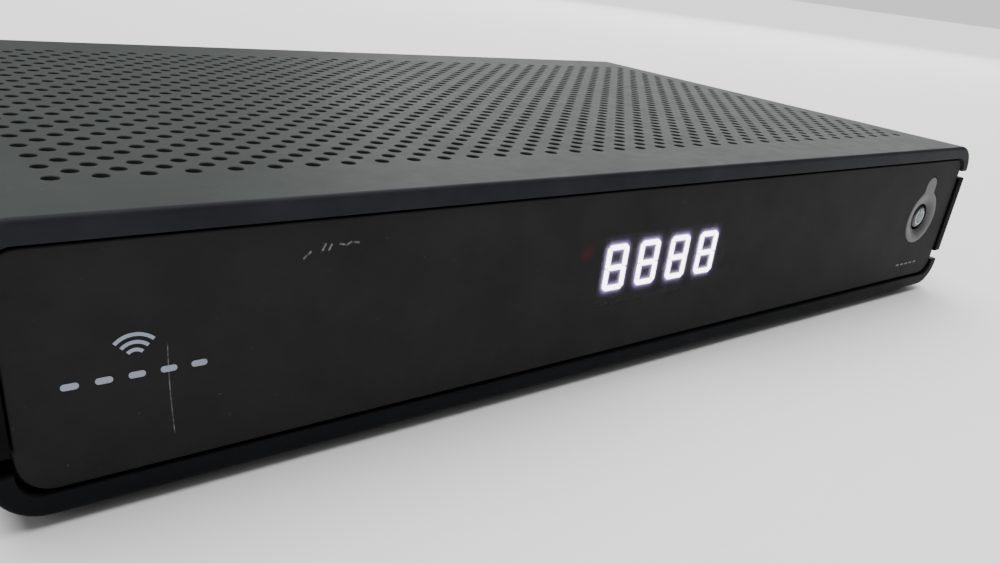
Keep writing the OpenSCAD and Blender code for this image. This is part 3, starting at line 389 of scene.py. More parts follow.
# dark satin plastic with grain, dust, a painted red glow of the status lamp round its place, one long
# hairline that bends as a parabola, and a few whitish scuffs
def fasciaPlastic(name, alpha):
    f = fasciaLook
    lift = 1 / alpha  # a see-through stretch shows less of its surface, so it is made that much brighter
    material, tree = startMaterial(name, IOR=f["ior"], Specular_IOR_Level=0.5 * lift, Alpha=alpha)
    colour = shade(f["colour"], lift)
    base = cloudy(tree, 60, shade(colour, 0.85), shade(colour, 1.15), 4, 0.65)
    base = mixOf(dustOf(tree, f["dust"], 1300, 0.745), base, (0.4, 0.4, 0.4, 1))
    # painted light: a red glow of the status lamp behind the fascia, mixed into the base colour and fading
    # with distance
    paintedLampGlow = rangeOf(awayFrom(tree, *f["lightSpot"]), 0, f["lightReach"], 0.55, 0.0)
    base = mixOf(paintedLampGlow, base, f["lightColour"])
    x, z = axisOf(tree, "X"), axisOf(tree, "Z")
    up = minus(z, f["hairlineMiddle"][1])
    off = sizeOf(minus(minus(x, f["hairlineMiddle"][0]), times(times(up, up), f["hairlineBend"])))
    worn = rangeOf(off, f["hairlineWidth"] * 0.3, f["hairlineWidth"], f["hairlineStrength"], 0.0)
    worn = times(worn, rangeOf(z, f["hairlineLow"], f["hairlineLow"] + mm, 0.0, 1.0))
    worn = times(worn, rangeOf(z, f["hairlineHigh"] - mm, f["hairlineHigh"], 1.0, 0.0))
    for start, end in np.array(f["scuffs"]) * mm:
        mark = times(scratchOf(tree, start, end, f["scuffWidth"]), f["scuffStrength"])
        worn = mathOf("MAXIMUM", worn, mark)
    patchy = times(worn, rangeOf(noiseOf(tree, 1500, 2), 0.35, 0.6, 0.25, 1.0))
    rough = uneven(tree, 160, f["roughness"] - 0.02, f["roughness"] + 0.03)
    return dress(material, Base_Color=mixOf(patchy, base, f["wornColour"]),
                 Roughness=plus(rough, times(patchy, 0.3)), Normal=grainOf(tree, 2400, 0.3, 0.03 * mm, 0.7))


displayLook = {
    "segmentColour": (1.0, 0.95, 1.0, 1),
    "segmentStrength": 84.0,
    "haloColour": (0.62, 0.44, 1.0, 1),
    "haloStrength": 16.0,
    "haloReach": 0.34 * mm,
    "counterGlow": 0.02,
    "flange": 1.25 * mm,
    "flangeDepth": 0.5 * mm,
    "gridStep": 0.3 * mm,
}


# black wall behind the digits with a painted violet halo: the wall itself emits light where the glow
# attribute says so
def displayBlack():
    material, tree = startMaterial("displayBlack", Roughness=0.6, Emission_Color=displayLook["haloColour"])
    glow = addNode(tree, "Attribute", {}, attribute_name="glow").outputs["Fac"]
    # painted light: the wall glows violet round the digits, standing in for their halo
    return dress(material, Emission_Strength=times(glow, displayLook["haloStrength"]),
                 Base_Color=cloudy(tree, 200, (0.006, 0.006, 0.007), (0.012, 0.011, 0.014)),
                 Normal=grainOf(tree, 1500, 0.2, 0.02 * mm))


def litSegment():
    material, tree = startMaterial("litSegment", Roughness=0.45, Emission_Color=displayLook["segmentColour"],
                                   Emission_Strength=displayLook["segmentStrength"])
    return dress(material, Base_Color=cloudy(tree, 400, (0.72, 0.70, 0.78), (0.82, 0.80, 0.86), 2))


# clear coloured lens with cloudy depth; a dim one glows faintly of its own
def lens(name, colour, glow=0.0):
    material, tree = startMaterial(name, Roughness=0.18, Coat_Weight=0.4, Emission_Color=(*colour, 1),
                                   Emission_Strength=glow)
    return dress(material, Base_Color=cloudy(tree, 500, shade(colour, 0.7), shade(colour, 1.1)))


# solder mask over copper: lanes of tracks and round pads
def circuitBoard():
    material, tree = startMaterial("circuitBoard", Coat_Weight=0.5, Coat_Roughness=0.15)
    lanes = {"Vector": objectPoint(tree), "Scale": 260.0, "Mortar Size": 0.09, "Mortar Smooth": 0.1,
             "Brick Width": 2.6, "Row Height": 0.26, "Bias": 0.0}
    tracks = addNode(tree, "TexBrick", lanes, offset=0.37, squash=0.6).outputs["Fac"]
    cells = addNode(tree, "TexVoronoi", {"Vector": objectPoint(tree), "Scale": 330.0}).outputs["Distance"]
    pads = rangeOf(cells, 0.10, 0.13, 1.0, 0.0)
    padHere = times(pads, rangeOf(noiseOf(tree, 38, 2), 0.5, 0.56, 0.0, 1.0))
    mask = cloudy(tree, 90, (0.006, 0.075, 0.028), (0.009, 0.10, 0.038))
    base = mixOf(padHere, mixOf(times(tracks, 0.75), mask, (0.02, 0.19, 0.07, 1)), (0.62, 0.55, 0.36, 1))
    return dress(material, Base_Color=base, Metallic=times(padHere, 0.9),
                 Roughness=uneven(tree, 300, 0.32, 0.45),
                 Normal=bumpOf(mathOf("MAXIMUM", tracks, pads), 0.4, 0.03 * mm))


# white ribbon with a fine ridge over every wire and one blue edge
def ribbonSheath():
    material, tree = startMaterial("ribbonSheath", Roughness=0.4)
    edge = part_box("ribbon_cable")[0].x
    pitch = 1.0 * mm
    x = axisOf(tree, "X")
    ridge = rangeOf(mathOf("SINE", times(x, 2 * math.pi / pitch)), -1, 1, 0.0, 1.0)
    base = rampOf(ridge, [(0.0, (0.34, 0.34, 0.33)), (0.6, (0.62, 0.62, 0.60))])
    blue = rangeOf(x, edge + pitch, edge + pitch * 1.2, 1.0, 0.0)
    return dress(material, Base_Color=mixOf(blue, base, (0.05, 0.13, 0.42, 1)),
                 Normal=bumpOf(ridge, 0.6, 0.15 * mm))


# dark sleeve with a bare aluminium top above a height
def capacitorSleeve():
    material, tree = startMaterial("capacitorSleeve")
    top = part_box("capacitors")[1].z
    bare = rangeOf(axisOf(tree, "Z"), top - 0.25 * mm, top - 0.2 * mm, 0.0, 1.0)
    sleeve = cloudy(tree, 150, (0.010, 0.012, 0.030), (0.016, 0.018, 0.044))
    return dress(material, Base_Color=mixOf(bare, sleeve, (0.62, 0.62, 0.63, 1)), Metallic=bare,
                 Roughness=uneven(tree, 350, 0.28, 0.42))


shellLook = {
    "top": (0.045, 0.050, 0.0485),
    "lip": (0.0200, 0.0210, 0.0245),
    "ior": 1.09,
    "roughness": 0.5,
    "lipRoughness": 0.38,
    "lipStart": 0.7 * mm,
    "lipEnd": 1.05 * mm,
}


# etched top shell plastic; the lip in front of the fascia is painted darker and a little bluish as painted
# shade, since it faces away from the light that brightens the top
def shellPlastic():
    look = shellLook
    material, tree = startMaterial("topShell", IOR=look["ior"])
    top = cloudy(tree, 45, shade(look["top"], 0.93), shade(look["top"], 1.07), 4, 0.65)
    top = mixOf(dustOf(tree, 0.06, 1100, 0.69), top, (0.30, 0.30, 0.29, 1))
    # painted shade: the lip's darker, bluish colour stands in for the front face lying in shade
    lip = cloudy(tree, 90, shade(look["lip"], 0.85), shade(look["lip"], 1.2))
    front = rangeOf(axisOf(tree, "Y"), caseFront + look["lipStart"], caseFront + look["lipEnd"], 1.0, 0.0)
    rough = uneven(tree, 200, look["roughness"] - 0.04, look["roughness"] + 0.04)
    smoother = times(front, look["roughness"] - look["lipRoughness"])
    return dress(material, Base_Color=mixOf(front, top, lip), Roughness=minus(rough, smoother),
                 Normal=grainOf(tree, 1900, 0.6, 0.04 * mm, 0.7))


keyLook = {
    "paintedHighlightRadius": 2.5 * mm,
    "paintedShadeRadius": 2.85 * mm,
    "paintedShadeStart": 3.8 * mm,
    "paintedShadeEnd": 5.8 * mm,
    "paintedShadeAmount": 0.85,
}


# cap with a pale grey-blue centre that is a painted highlight on the dome, in a dark surround that is partly
# the cap's own dark colour and partly painted shade of the recess round it
def buttonCap():
    material, tree = startMaterial("buttonCap", IOR=1.45)
    pale = cloudy(tree, 500, (0.095, 0.112, 0.122), (0.115, 0.135, 0.146))
    # painted light: the pale centre is a painted highlight, darkening outwards into painted shade where the
    # cap sits in its recess
    rim = rangeOf(awayFrom(tree, keyX, keyZ), keyLook["paintedHighlightRadius"], keyLook["paintedShadeRadius"], 0.0, 1.0)
    return dress(material, Base_Color=mixOf(rim, pale, (0.016, 0.017, 0.018, 1)),
                 Roughness=uneven(tree, 700, 0.2, 0.3), Normal=grainOf(tree, 2600, 0.15, 0.02 * mm))


# grey paint with painted shade: darker in the hollow round the button, where shade falls
def trimPaint():
    material, tree = startMaterial("trimPaint", IOR=1.35)
    paint = cloudy(tree, 300, (0.062, 0.0655, 0.063), (0.075, 0.0785, 0.076))
    # painted shade: the paint darkens towards the button, standing in for shade in the dished hollow
    hollow = rangeOf(awayFrom(tree, keyX, keyZ), keyLook["paintedShadeStart"], keyLook["paintedShadeEnd"],
                     keyLook["paintedShadeAmount"], 0.0)
    return dress(material, Base_Color=mixOf(hollow, paint, (0.022, 0.023, 0.023, 1)),
                 Roughness=uneven(tree, 700, 0.34, 0.42), Normal=grainOf(tree, 2600, 0.25, 0.03 * mm))


# pale paper stock with a thin printed border just inside its edge
def labelStock():
    material, tree = startMaterial("labelStock", Roughness=0.45)
    low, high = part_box("bottom_label")
    centre, half = (low + high) / 2, (high - low) / 2
    x = sizeOf(minus(axisOf(tree, "X"), centre.x))
    y = sizeOf(minus(axisOf(tree, "Y"), centre.y))
    line = mathOf("COMPARE", mathOf("MINIMUM", minus(half.x, x), minus(half.y, y)), 1.2 * mm)
    line.node.inputs[2].default_value = 0.12 * mm
    paper = cloudy(tree, 700, (0.55, 0.55, 0.54), (0.64, 0.64, 0.62), 4)
    return dress(material, Base_Color=mixOf(line, paper, (0.08, 0.08, 0.09, 1)),
                 Normal=bumpOf(noiseOf(tree, 1800), 0.2, 0.02 * mm))


# chip top: fine matt mould compound that is a little smoother at scattered spots
def mouldCompound():
    material, tree = startMaterial("mouldCompound")
    return dress(material, Base_Color=cloudy(tree, 600, (0.014, 0.014, 0.016), (0.028, 0.028, 0.030)),
                 Roughness=uneven(tree, 900, 0.5, 0.68), Normal=grainOf(tree, 3500, 0.5, 0.03 * mm))


# the inner face of the see-through stretch lets everything pass, so the tint counts once
def clearSkin():
    material, tree = startMaterial("clearBack", Roughness=0.3, Specular_IOR_Level=0.0, Alpha=0.0)
    return dress(material, Base_Color=cloudy(tree, 200, (0.010, 0.010, 0.010), (0.012, 0.012, 0.012)))


finishes = {
    "top_shell": shellPlastic(),
    "base_shell": mouldedPlastic("baseShell", (0.0085, 0.0090, 0.0102), 0.42, dust=0.02, ior=1.1),
    "side_rail": mouldedPlastic("railShell", (0.0060, 0.0066, 0.0058), 0.45, dust=0.02, ior=1.08),
    "fascia": fasciaPlastic("fasciaPlastic", 1.0),
    "print_light": mouldedPlastic("printLight", (0.31, 0.355, 0.44), 0.5, grain=1500, mottle=0.15),
    "print_dim": mouldedPlastic("printDim", (0.12, 0.117, 0.132), 0.5, grain=1500, mottle=0.15),
    "trim": trimPaint(),
    "button": buttonCap(),
    "icon": mouldedPlastic("iconPrint", (0.42, 0.49, 0.53), 0.35, grain=2000, mottle=0.1),
    "rubber_black": mouldedPlastic("rubber", (0.012, 0.012, 0.012), 0.75, grain=1400, depth=0.8, mottle=0.25,
                                   dust=0.3),
    "label_stock": labelStock(),
    "screw_black": drawnMetal("screwBlack", (0.05, 0.05, 0.053), 0.4),
    "screw_zinc": drawnMetal("screwZinc", (0.50, 0.51, 0.53), 0.33),
    "display_black": displayBlack(),
    "segment": litSegment(),
    "light_red": lens("lightRed", (0.40, 0.02, 0.02), 0.9),
    "circuit_board": circuitBoard(),
    "chip_black": mouldCompound(),
    "plunger_red": mouldedPlastic("plungerRed", (0.30, 0.035, 0.025), 0.45),
    "ribbon": ribbonSheath(),
    "socket": mouldedPlastic("socketNylon", (0.58, 0.54, 0.43), 0.5),
    "pad_blue": mouldedPlastic("padBlue", (0.17, 0.25, 0.36), 0.8, grain=900, depth=0.8, mottle=0.2),
    "sink": drawnMetal("sinkAnodised", (0.035, 0.036, 0.038), 0.42, grain=400),
    "pin_nylon": mouldedPlastic("pinNylon", (0.50, 0.44, 0.28), 0.45),
    "can_steel": drawnMetal("canSteel", (0.46, 0.47, 0.48), 0.3, (1, 30, 1)),
    "capacitor": capacitorSleeve(),
    "panel": mouldedPlastic("panelCoat", (0.012, 0.012, 0.013), 0.5, grain=1100, depth=0.7, dust=0.04),
    "connector_metal": drawnMetal("connectorNickel", (0.56, 0.56, 0.55), 0.25, (1, 12, 1)),
    "insulator": mouldedPlastic("insulatorWhite", (0.66, 0.66, 0.63), 0.45),
    "contact_gold": drawnMetal("contactGold", (0.83, 0.60, 0.25), 0.22),
    "connector_black": mouldedPlastic("connectorBlack", (0.011, 0.011, 0.012), 0.38, grain=1800),
    "lamp": lens("lampLens", (0.40, 0.46, 0.20), 0.0),
}
smokedWindow = fasciaPlastic("smokedWindow", fasciaLook["windowAlpha"])
clearBack = clearSkin()
print("finishes ready:", len(finishes))


caseShape = {
    "cornerRadius": 7.5 * mm,
    "wall": 2 * mm,
    "lipWall": 3.5 * mm,
    "shoulderWall": 5 * mm,
    "seatDepth": 3.1 * mm,
    "shoulderDepth": 1.5 * mm,
    "frontRound": 0.8 * mm,
    "innerRound": 0.25 * mm,
    "backRound": 0.5 * mm,
    "support": 0.5 * mm,
    "endRound": 0.25 * mm,
    "grooveTop": 7.7 * mm,
    "railTop": 9.8 * mm,
    "railLow": 33.5 * mm,
    "trayTop": 36.4 * mm,
}


# wall section as (y, inset): outside to the back, inside to the fascia's seat, then lip and front round
def caseProfile(samples):
    s = caseShape
    quarter = np.radians(np.linspace(0, 90, 6))
    seat = caseFront + s["seatDepth"]
    step = seat + s["shoulderDepth"]
    outer = np.concatenate([[caseFront + s["frontRound"], caseFront + s["frontRound"] + s["support"]],
                            samples, [caseBack - s["backRound"] - s["support"]]])
    inner = np.concatenate([[caseBack], samples[::-1], [step]])
    rows = [np.stack([outer, np.zeros(len(outer))], 1),
            np.stack([caseBack - s["backRound"] * (1 - np.sin(quarter)),
                      s["backRound"] * (1 - np.cos(quarter))], 1)]
    rows += [np.stack([inner, np.full(len(inner), s["wall"])], 1),
             np.array([[step, s["shoulderWall"]], [seat, s["shoulderWall"]], [seat, s["lipWall"]]]),
             np.stack([caseFront + s["innerRound"] * (1 - np.sin(quarter)),
                       s["lipWall"] - s["innerRound"] * (1 - np.cos(quarter))], 1),
             np.array([[caseFront, s["frontRound"] + s["support"]]]),
             np.stack([caseFront + s["frontRound"] * (1 - np.cos(quarter)),
                       s["frontRound"] * (1 - np.sin(quarter))], 1)[:-1]]
    return np.vstack(rows)


# point(u, v) = outline(u) - inset(v) * normal(u) at depth y(v); near each end the section shrinks
# along its own inward normals, so the ends are rounded
def sweepWall(outline, normals, profile):
    ahead = np.roll(profile, -1, 0) - np.roll(profile, 1, 0)
    ahead /= np.linalg.norm(ahead, axis=1, keepdims=True)
    inward = np.stack([-ahead[:, 1], ahead[:, 0]], 1)
    turn = np.roll(profile, -1, 0)
    inward *= np.sign((profile[:, 0] * turn[:, 1] - turn[:, 0] * profile[:, 1]).sum())
    bend = caseShape["endRound"]
    ends = ((0, 1), (0.3, 0.3), (1, 0))
    startWay = (outline[1] - outline[0]) / np.linalg.norm(outline[1] - outline[0])
    endWay = (outline[-2] - outline[-1]) / np.linalg.norm(outline[-2] - outline[-1])
    place = np.vstack([[outline[0] + startWay * bend * way for way, part in ends], outline[1:-1],
                       [outline[-1] + endWay * bend * way for way, part in ends[::-1]]])
    normal = np.vstack([normals[:1].repeat(3, 0), normals[1:-1], normals[-1:].repeat(3, 0)])
    shrink = np.concatenate([[bend * part for way, part in ends], np.zeros(len(outline) - 2),
                             [bend * part for way, part in ends[::-1]]])
    section = profile[None] + inward[None] * shrink[:, None, None]
    points = np.empty(section.shape[:2] + (3,))
    points[..., 0] = place[:, None, 0] - section[..., 1] * normal[:, None, 0]
    points[..., 1] = section[..., 0]
    points[..., 2] = place[:, None, 1] - section[..., 1] * normal[:, None, 1]
    return points


# right side, corner, flat stretch with the given columns, corner and left side;
# direction is 1 on top, -1 below
def cornerPath(flatX, sideZ, flatZ, direction, steps=10):
    r = caseShape["cornerRadius"]
    angle = np.radians(np.linspace(0, 90, steps + 1))
    outward = np.stack([np.cos(angle), direction * np.sin(angle)], 1)
    centre = np.array([caseHalf - r, flatZ - direction * r])
    right = outward * r + centre
    outline = np.vstack([[[caseHalf, sideZ]], right, np.stack([flatX[::-1], np.full(len(flatX), flatZ)], 1),
                         (right * [-1, 1])[::-1], [[-caseHalf, sideZ]]])
    flat = np.tile([[0.0, direction]], (len(flatX), 1))
    normals = np.vstack([[[1.0, 0.0]], outward, flat, (outward * [-1, 1])[::-1], [[-1.0, 0.0]]])
    return outline, normals


ventShape = {
    "pitch": 6.8 * mm,
    "columns": 36,
    "rows": 37,
    "margin": 18 * mm,
    "radius": 1.3 * mm,
    "rim": 0.12 * mm,
    "steps": 16,
}


# one diamond cell round each hole, with its rim, round edge and wall; the field's border is filled
# with many-sided faces. Odd rows have one hole less and stand half a pitch across.
def ventField(high, low):
    v = ventShape
    half = v["pitch"] / 2
    front = caseFront + v["margin"]
    back = front + (v["rows"] - 1) * half
    edge = v["columns"] * half
    rowX = [(np.arange(v["columns"] - k) - (v["columns"] - 1 - k) / 2) * v["pitch"] for k in (0, 1)]
    centres = np.vstack([np.stack([rowX[row % 2], np.full(len(rowX[row % 2]), front + row * half)], 1)
                         for row in range(v["rows"])])
    quarter = v["steps"] // 4
    turn = np.arange(v["steps"]) * 2 * math.pi / v["steps"]
    circle = np.stack([np.cos(turn), np.sin(turn)], 1)
    side = (np.arange(v["steps"]) % quarter / quarter)[:, None]
    corner = np.array([[1, 0], [0, 1], [-1, 0], [0, -1], [1, 0]], float)
    which = np.arange(v["steps"]) // quarter
    diamond = corner[which] * (1 - side) + corner[which + 1] * side
    rings = [(diamond * half, high), (circle * (v["radius"] + v["rim"]), high),
             (circle * v["radius"], high - v["rim"]), (circle * v["radius"], low), (diamond * half, low)]
    cell = liftLoops([ring for ring, z in rings], [z for ring, z in rings])
    soup = (cell[None] + atHeight(centres, 0)[:, None, None]).reshape(-1, 4, 3)
    share = np.linspace(0, 1, quarter + 1)[:, None]
    sides = []
    for y, out in ((front, -half), (back, half)):
        sides += [([a, y + out], [a + half, y], [a + 2 * half, y + out]) for a in rowX[0][:-1]]
        for x in (-edge, edge):
            sides.append(([x, y], [x - math.copysign(half, x), y + out], [x, y + out]))
    for x in (-edge, edge):
        inner = x - math.copysign(half, x)
        sides += [([x, y], [inner, y + half], [x, y + 2 * half])
                  for y in front + np.arange((v["rows"] - 1) // 2) * v["pitch"]]
    polygons = []
    for first, tip, last in np.array(sides):
        square = abs(tip[0] - first[0]) > tiny and abs(last[1] - tip[1]) < tiny
        rest = [last] if square else (tip + (last - tip) * share)[1:]
        ring = np.vstack([first + (tip - first) * share, rest])
        polygons += [atHeight(ring, high), atHeight(ring, low)]
    return soup, polygons, (edge, front - half, back + half)


postShape = {
    "inset": 2.75 * mm,
    "upperRadius": 3.3 * mm,
    "upperBore": 1.4 * mm,
    "seam": 12 * mm,
    "lowerRadius": 4.4 * mm,
    "counterBore": 3.1 * mm,
    "shankHole": 1.6 * mm,
    "headSeat": 6.5 * mm,
    "standoffRadius": 3.5 * mm,
    "standoffBore": 1.25 * mm,
    "standoffDepth": 5 * mm,
    "headRadius": 2.7 * mm,
    "upperDepth": 14 * mm,
    "tubeLift": 0.2 * mm,
    "tubeSlack": 0.02 * mm,
}


def casePosts():
    low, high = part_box("case_screws")
    reach = postShape["inset"]
    return [(x, y) for x in (low.x + reach, high.x - reach) for y in (low.y + reach, high.y - reach)]


# a round post from its root to its mouth, with a blind hole in the mouth
def postSoup(x, y, root, mouth, radius, bore, depth):
    floor = mouth + math.copysign(depth, root - mouth)
    profile = [(0, root), (radius, root), (radius, mouth), (bore, mouth), (bore, floor), (0, floor)]
    return turned(profile, (x, y, 0), "z", 24)


def isLevel(quads, z):
    return (np.abs(quads[..., 2] - z) < tiny).all(1)


def isInside(middle, left, right, front, back):
    return (middle[:, 0] > left) & (middle[:, 0] < right) & (middle[:, 1] > front) & (middle[:, 1] < back)


def buildTopCover():
    v, s, p = ventShape, caseShape, postShape
    half = v["pitch"] / 2
    high, low = caseHigh.z, caseHigh.z - s["wall"]
    soup, polygons, (edge, front, back) = ventField(high, low)
    flatEnd = caseHalf - s["cornerRadius"] - s["support"]
    holesX = (np.arange(v["columns"]) - (v["columns"] - 1) / 2) * v["pitch"]
    flatX = np.concatenate([[-flatEnd, -edge], holesX, [edge, flatEnd]])
    rowsY = np.concatenate([[front], front + half + np.arange((v["rows"] + 1) // 2) * v["pitch"], [back]])
    outline, normals = cornerPath(flatX, high - s["grooveTop"], high, 1)
    points = sweepWall(outline, normals, caseProfile(rowsY))
    quads = gridSoup(points, closeColumns=True)
    field = (isLevel(quads, high) | isLevel(quads, low)) & isInside(quads.mean(1), -edge, edge, front, back)
    posts = [postSoup(x, y, high - s["wall"] / 2, p["seam"], p["upperRadius"], p["upperBore"],
                      p["upperDepth"]) for x, y in casePosts()]
    piece = solidFromSoup("top_cover_shell", np.vstack([quads[~field], soup] + posts),
                          polygons + [points[0], points[-1]])
    return standFor(piece, "top_cover")


trayShape = {
    "slotCount": 13,
    "slotPitch": 8 * mm,
    "slotWidth": 3 * mm,
    "slotLength": 28 * mm,
    "slotRow": 24 * mm,
    "slotRound": 0.3 * mm,
    "labelPocket": 0.3 * mm,
    "slotCorner": 1.2 * mm,
    "floorColumns": (-120 * mm, -80 * mm, 80 * mm, 120 * mm),
}


# the base: the swept wall, its floor opened cell by cell for slots, counterbores and the label's pocket
def buildBaseTray():
    t, s, p = trayShape, caseShape, postShape
    middleY = (caseFront + caseBack) / 2
    labelLow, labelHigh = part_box("bottom_label")
    low, high = caseLow.z, caseLow.z + s["wall"]
    slotX = (np.arange(t["slotCount"]) - (t["slotCount"] - 1) / 2) * t["slotPitch"]
    outHalf = t["slotWidth"] / 2 + t["slotRound"]
    outLong = t["slotLength"] / 2 + t["slotRound"]
    flatX = np.unique(np.round(np.concatenate([
        slotX - outHalf, slotX + outHalf, [labelLow.x, labelHigh.x], t["floorColumns"]]), 7))
    slotY = np.array([middleY - t["slotRow"], middleY + t["slotRow"]])
    rowsY = np.unique(np.round(np.concatenate([
        slotY - outLong, slotY + outLong, [labelLow.y, labelHigh.y]]), 7))
    outline, normals = cornerPath(flatX, caseHigh.z - s["trayTop"], low, -1)
    points = sweepWall(outline, normals, caseProfile(rowsY))
    quads = gridSoup(points, closeColumns=True)
    middle = quads.mean(1)
    isLow, isHigh = isLevel(quads, low), isLevel(quads, high)
    remove = np.zeros(len(quads), bool)
    extra = []
    for x in slotX:
        for y in slotY:
            remove |= (isLow | isHigh) & isInside(middle, x - outHalf, x + outHalf, y - outLong, y + outLong)
            wide = roundedRing(x, y, outHalf, outLong, 0)
            slot = roundedRing(x, y, outHalf - t["slotRound"], outLong - t["slotRound"], t["slotCorner"])
            extra.append(liftLoops([wide, slot, slot, wide], [low, low + t["slotRound"], high, high]))
    pocket = isLow & isInside(middle, labelLow.x, labelHigh.x, labelLow.y, labelHigh.y)
    remove |= pocket
    columns = flatX[(flatX > labelLow.x - tiny) & (flatX < labelHigh.x + tiny)]
    ring = np.vstack([np.stack([columns, np.full(len(columns), labelLow.y)], 1),
                      np.stack([columns[::-1], np.full(len(columns), labelHigh.y)], 1)])
    extra += [quads[pocket] + [0, 0, t["labelPocket"]],
              liftLoops([ring, ring], [low, low + t["labelPocket"]])]
    tubes = [postSoup(x, y, high - s["wall"] / 2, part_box("main_board")[0].z, p["standoffRadius"],
                      p["standoffBore"], p["standoffDepth"]) for x, y in boardScrews()]
    start, hidden = low + p["tubeLift"], p["counterBore"] + p["tubeSlack"]
    tubes += [turned([(hidden, start), (hidden, p["headSeat"]), (p["shankHole"], p["headSeat"]),
                      (p["shankHole"], p["seam"]), (p["lowerRadius"], p["seam"]), (p["lowerRadius"], start),
                      (hidden, start)], (x, y, 0), "z", 32) for x, y in casePosts()]
    piece = solidFromSoup("base_tray_shell", np.vstack([quads[~remove]] + extra), [points[0], points[-1]])
    drill = [turned([(0, low - mm), (p["counterBore"], low - mm), (p["counterBore"], high + mm),
                     (0, high + mm)], (x, y, 0), "z", 32) for x, y in casePosts()]
    cutAway(piece, solidFromSoup("drill", np.vstack(drill)))
    return standFor(joinSoup(piece, np.vstack(tubes)), "base_tray")


# takes the cutter's solids out of the piece, then drops the cutter
def cutAway(piece, cutter):
    cut = piece.modifiers.new("cut", "BOOLEAN")
    cut.operation = "DIFFERENCE"
    cut.solver = "EXACT"
    cut.object = cutter
    bpy.context.view_layer.update()
    shaped = piece.evaluated_get(bpy.context.evaluated_depsgraph_get())
    mesh = bpy.data.meshes.new_from_object(shaped)
    piece.modifiers.clear()
    piece.data = mesh
    bpy.data.objects.remove(cutter)


# adds loose closed solids to a finished piece and welds them
def joinSoup(piece, soup):
    extra = solidFromSoup(piece.name + "_extra", soup)
    work = bmesh.new()
    work.from_mesh(piece.data)
    work.from_mesh(extra.data)
    mesh = bpy.data.meshes.new(piece.name)
    work.to_mesh(mesh)
    work.free()
    bpy.data.objects.remove(extra)
    name = piece.name
    bpy.data.objects.remove(piece)
    return placeMesh(name, mesh)


# a rounded rectangle about (x, y); radius 0 leaves the same number of points on square corners
def roundedRing(x, y, halfX, halfY, radius):
    return roundedLoop(x - halfX, x + halfX, y - halfY, y + halfY, radius, radius, 4)


def boardScrews():
    low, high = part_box("main_board_screws")
    reach = postShape["headRadius"]
    return [(x, y) for x in (low.x + reach, 0, high.x - reach) for y in (low.y + reach, high.y - reach)]


railShape = {
    "endMargin": 20 * mm,
    "tongueWidth": 1.2 * mm,
    "tongueShrink": 0.2 * mm,
    "tongueRound": 0.3 * mm,
    "tongueBack": 4 * mm,
}


# the swept strip between cover and tray, with a tongue along its inner side
def buildSideRail(node, side):
    t = railShape
    s = caseShape
    heights = np.linspace(caseHigh.z - s["railLow"], caseHigh.z - s["railTop"], 6)
    outline = np.stack([np.full(len(heights), side * caseHalf), heights], 1)
    normals = np.tile([[float(side), 0.0]], (len(heights), 1))
    samples = np.linspace(caseFront + t["endMargin"], caseBack - t["endMargin"], 8)
    points = sweepWall(outline, normals, caseProfile(samples))
    low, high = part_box(node)
    ends = sorted([side * (caseHalf - s["wall"] - t["tongueWidth"]), side * (caseHalf - s["wall"])])
    shrink = t["tongueShrink"]
    tongue = roundedLoop(ends[0] + shrink * (side < 0), ends[1] - shrink * (side > 0), low.z, high.z,
                         t["tongueRound"], t["tongueRound"], 3)
    depths = [caseFront + s["seatDepth"] + s["shoulderDepth"], caseBack - t["tongueBack"]]
    soup = np.vstack([gridSoup(points, closeColumns=True), loftLoops([tongue, tongue], depths)])
    caps = [points[0], points[-1]] + [atDepth(tongue, y) for y in depths]
    return standFor(solidFromSoup(node + "_strip", soup, caps), node)


buildTopCover()
buildBaseTray()
buildSideRail("side_rail_left", -1)
buildSideRail("side_rail_right", 1)
print("case shells built")


fasciaShape = {
    "thickness": 2.5 * mm,
    "lowRadius": 5 * mm,
    "highRadius": 4 * mm,
    "grow": 0.12 * mm,
    "edgeRound": 0.3 * mm,
    "seatDepth": 1 * mm,
    "rimRound": 0.08 * mm,
    "boreRadius": 4 * mm,
    "windowSkin": 1.2 * mm,
    "windowWidth": 43 * mm,
    "windowHeight": 16 * mm,
    "bossRadius": 2.6 * mm,
    "bossBore": 0.9 * mm,
    "bossInset": 1.9 * mm,
    "bossDepth": 5 * mm,
}

keyholeShape = {
    "ringRadius": 8.1 * mm,
    "neckWidth": 5.9 * mm,
    "neckTop": 12.6 * mm,
    "neckFillet": 1.6 * mm,
    "gap": 0.07 * mm,
    "rise": 0.14 * mm,
    "edgeRound": 0.28 * mm,
    "dish": 0.85 * mm,
    "dishReach": 3.2 * mm,
}

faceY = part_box("front_fascia")[0].y
fasciaBack = faceY + fasciaShape["thickness"]


# ring and round-topped neck joined by fillets, as (x, z) points about the ring's centre
def keyholeOutline(steps=12):
    k = keyholeShape
    half, ring, fillet = k["neckWidth"] / 2, k["ringRadius"], k["neckFillet"]
    acrossX = half + fillet
    upZ = math.sqrt((ring + fillet) ** 2 - acrossX ** 2)
    lean = math.degrees(math.atan2(upZ, acrossX))
    right = arcPoints(acrossX, upZ, fillet, 180 + lean, 180, 5)
    top = arcPoints(0, k["neckTop"] - half, half, 0, 180, steps)
    left = (right * [-1, 1])[::-1]
    lower = arcPoints(0, 0, ring, 180 - lean, 360 + lean, 5 * steps)
    loop = np.vstack([right, top, left[:-1], lower[:-1]])
    neck = np.array([[half, (upZ + k["neckTop"] - half) / 2]])
    return np.vstack([loop, neck])[np.argsort(np.round(np.arctan2(*np.vstack([loop, neck]).T[::-1]), 9))]


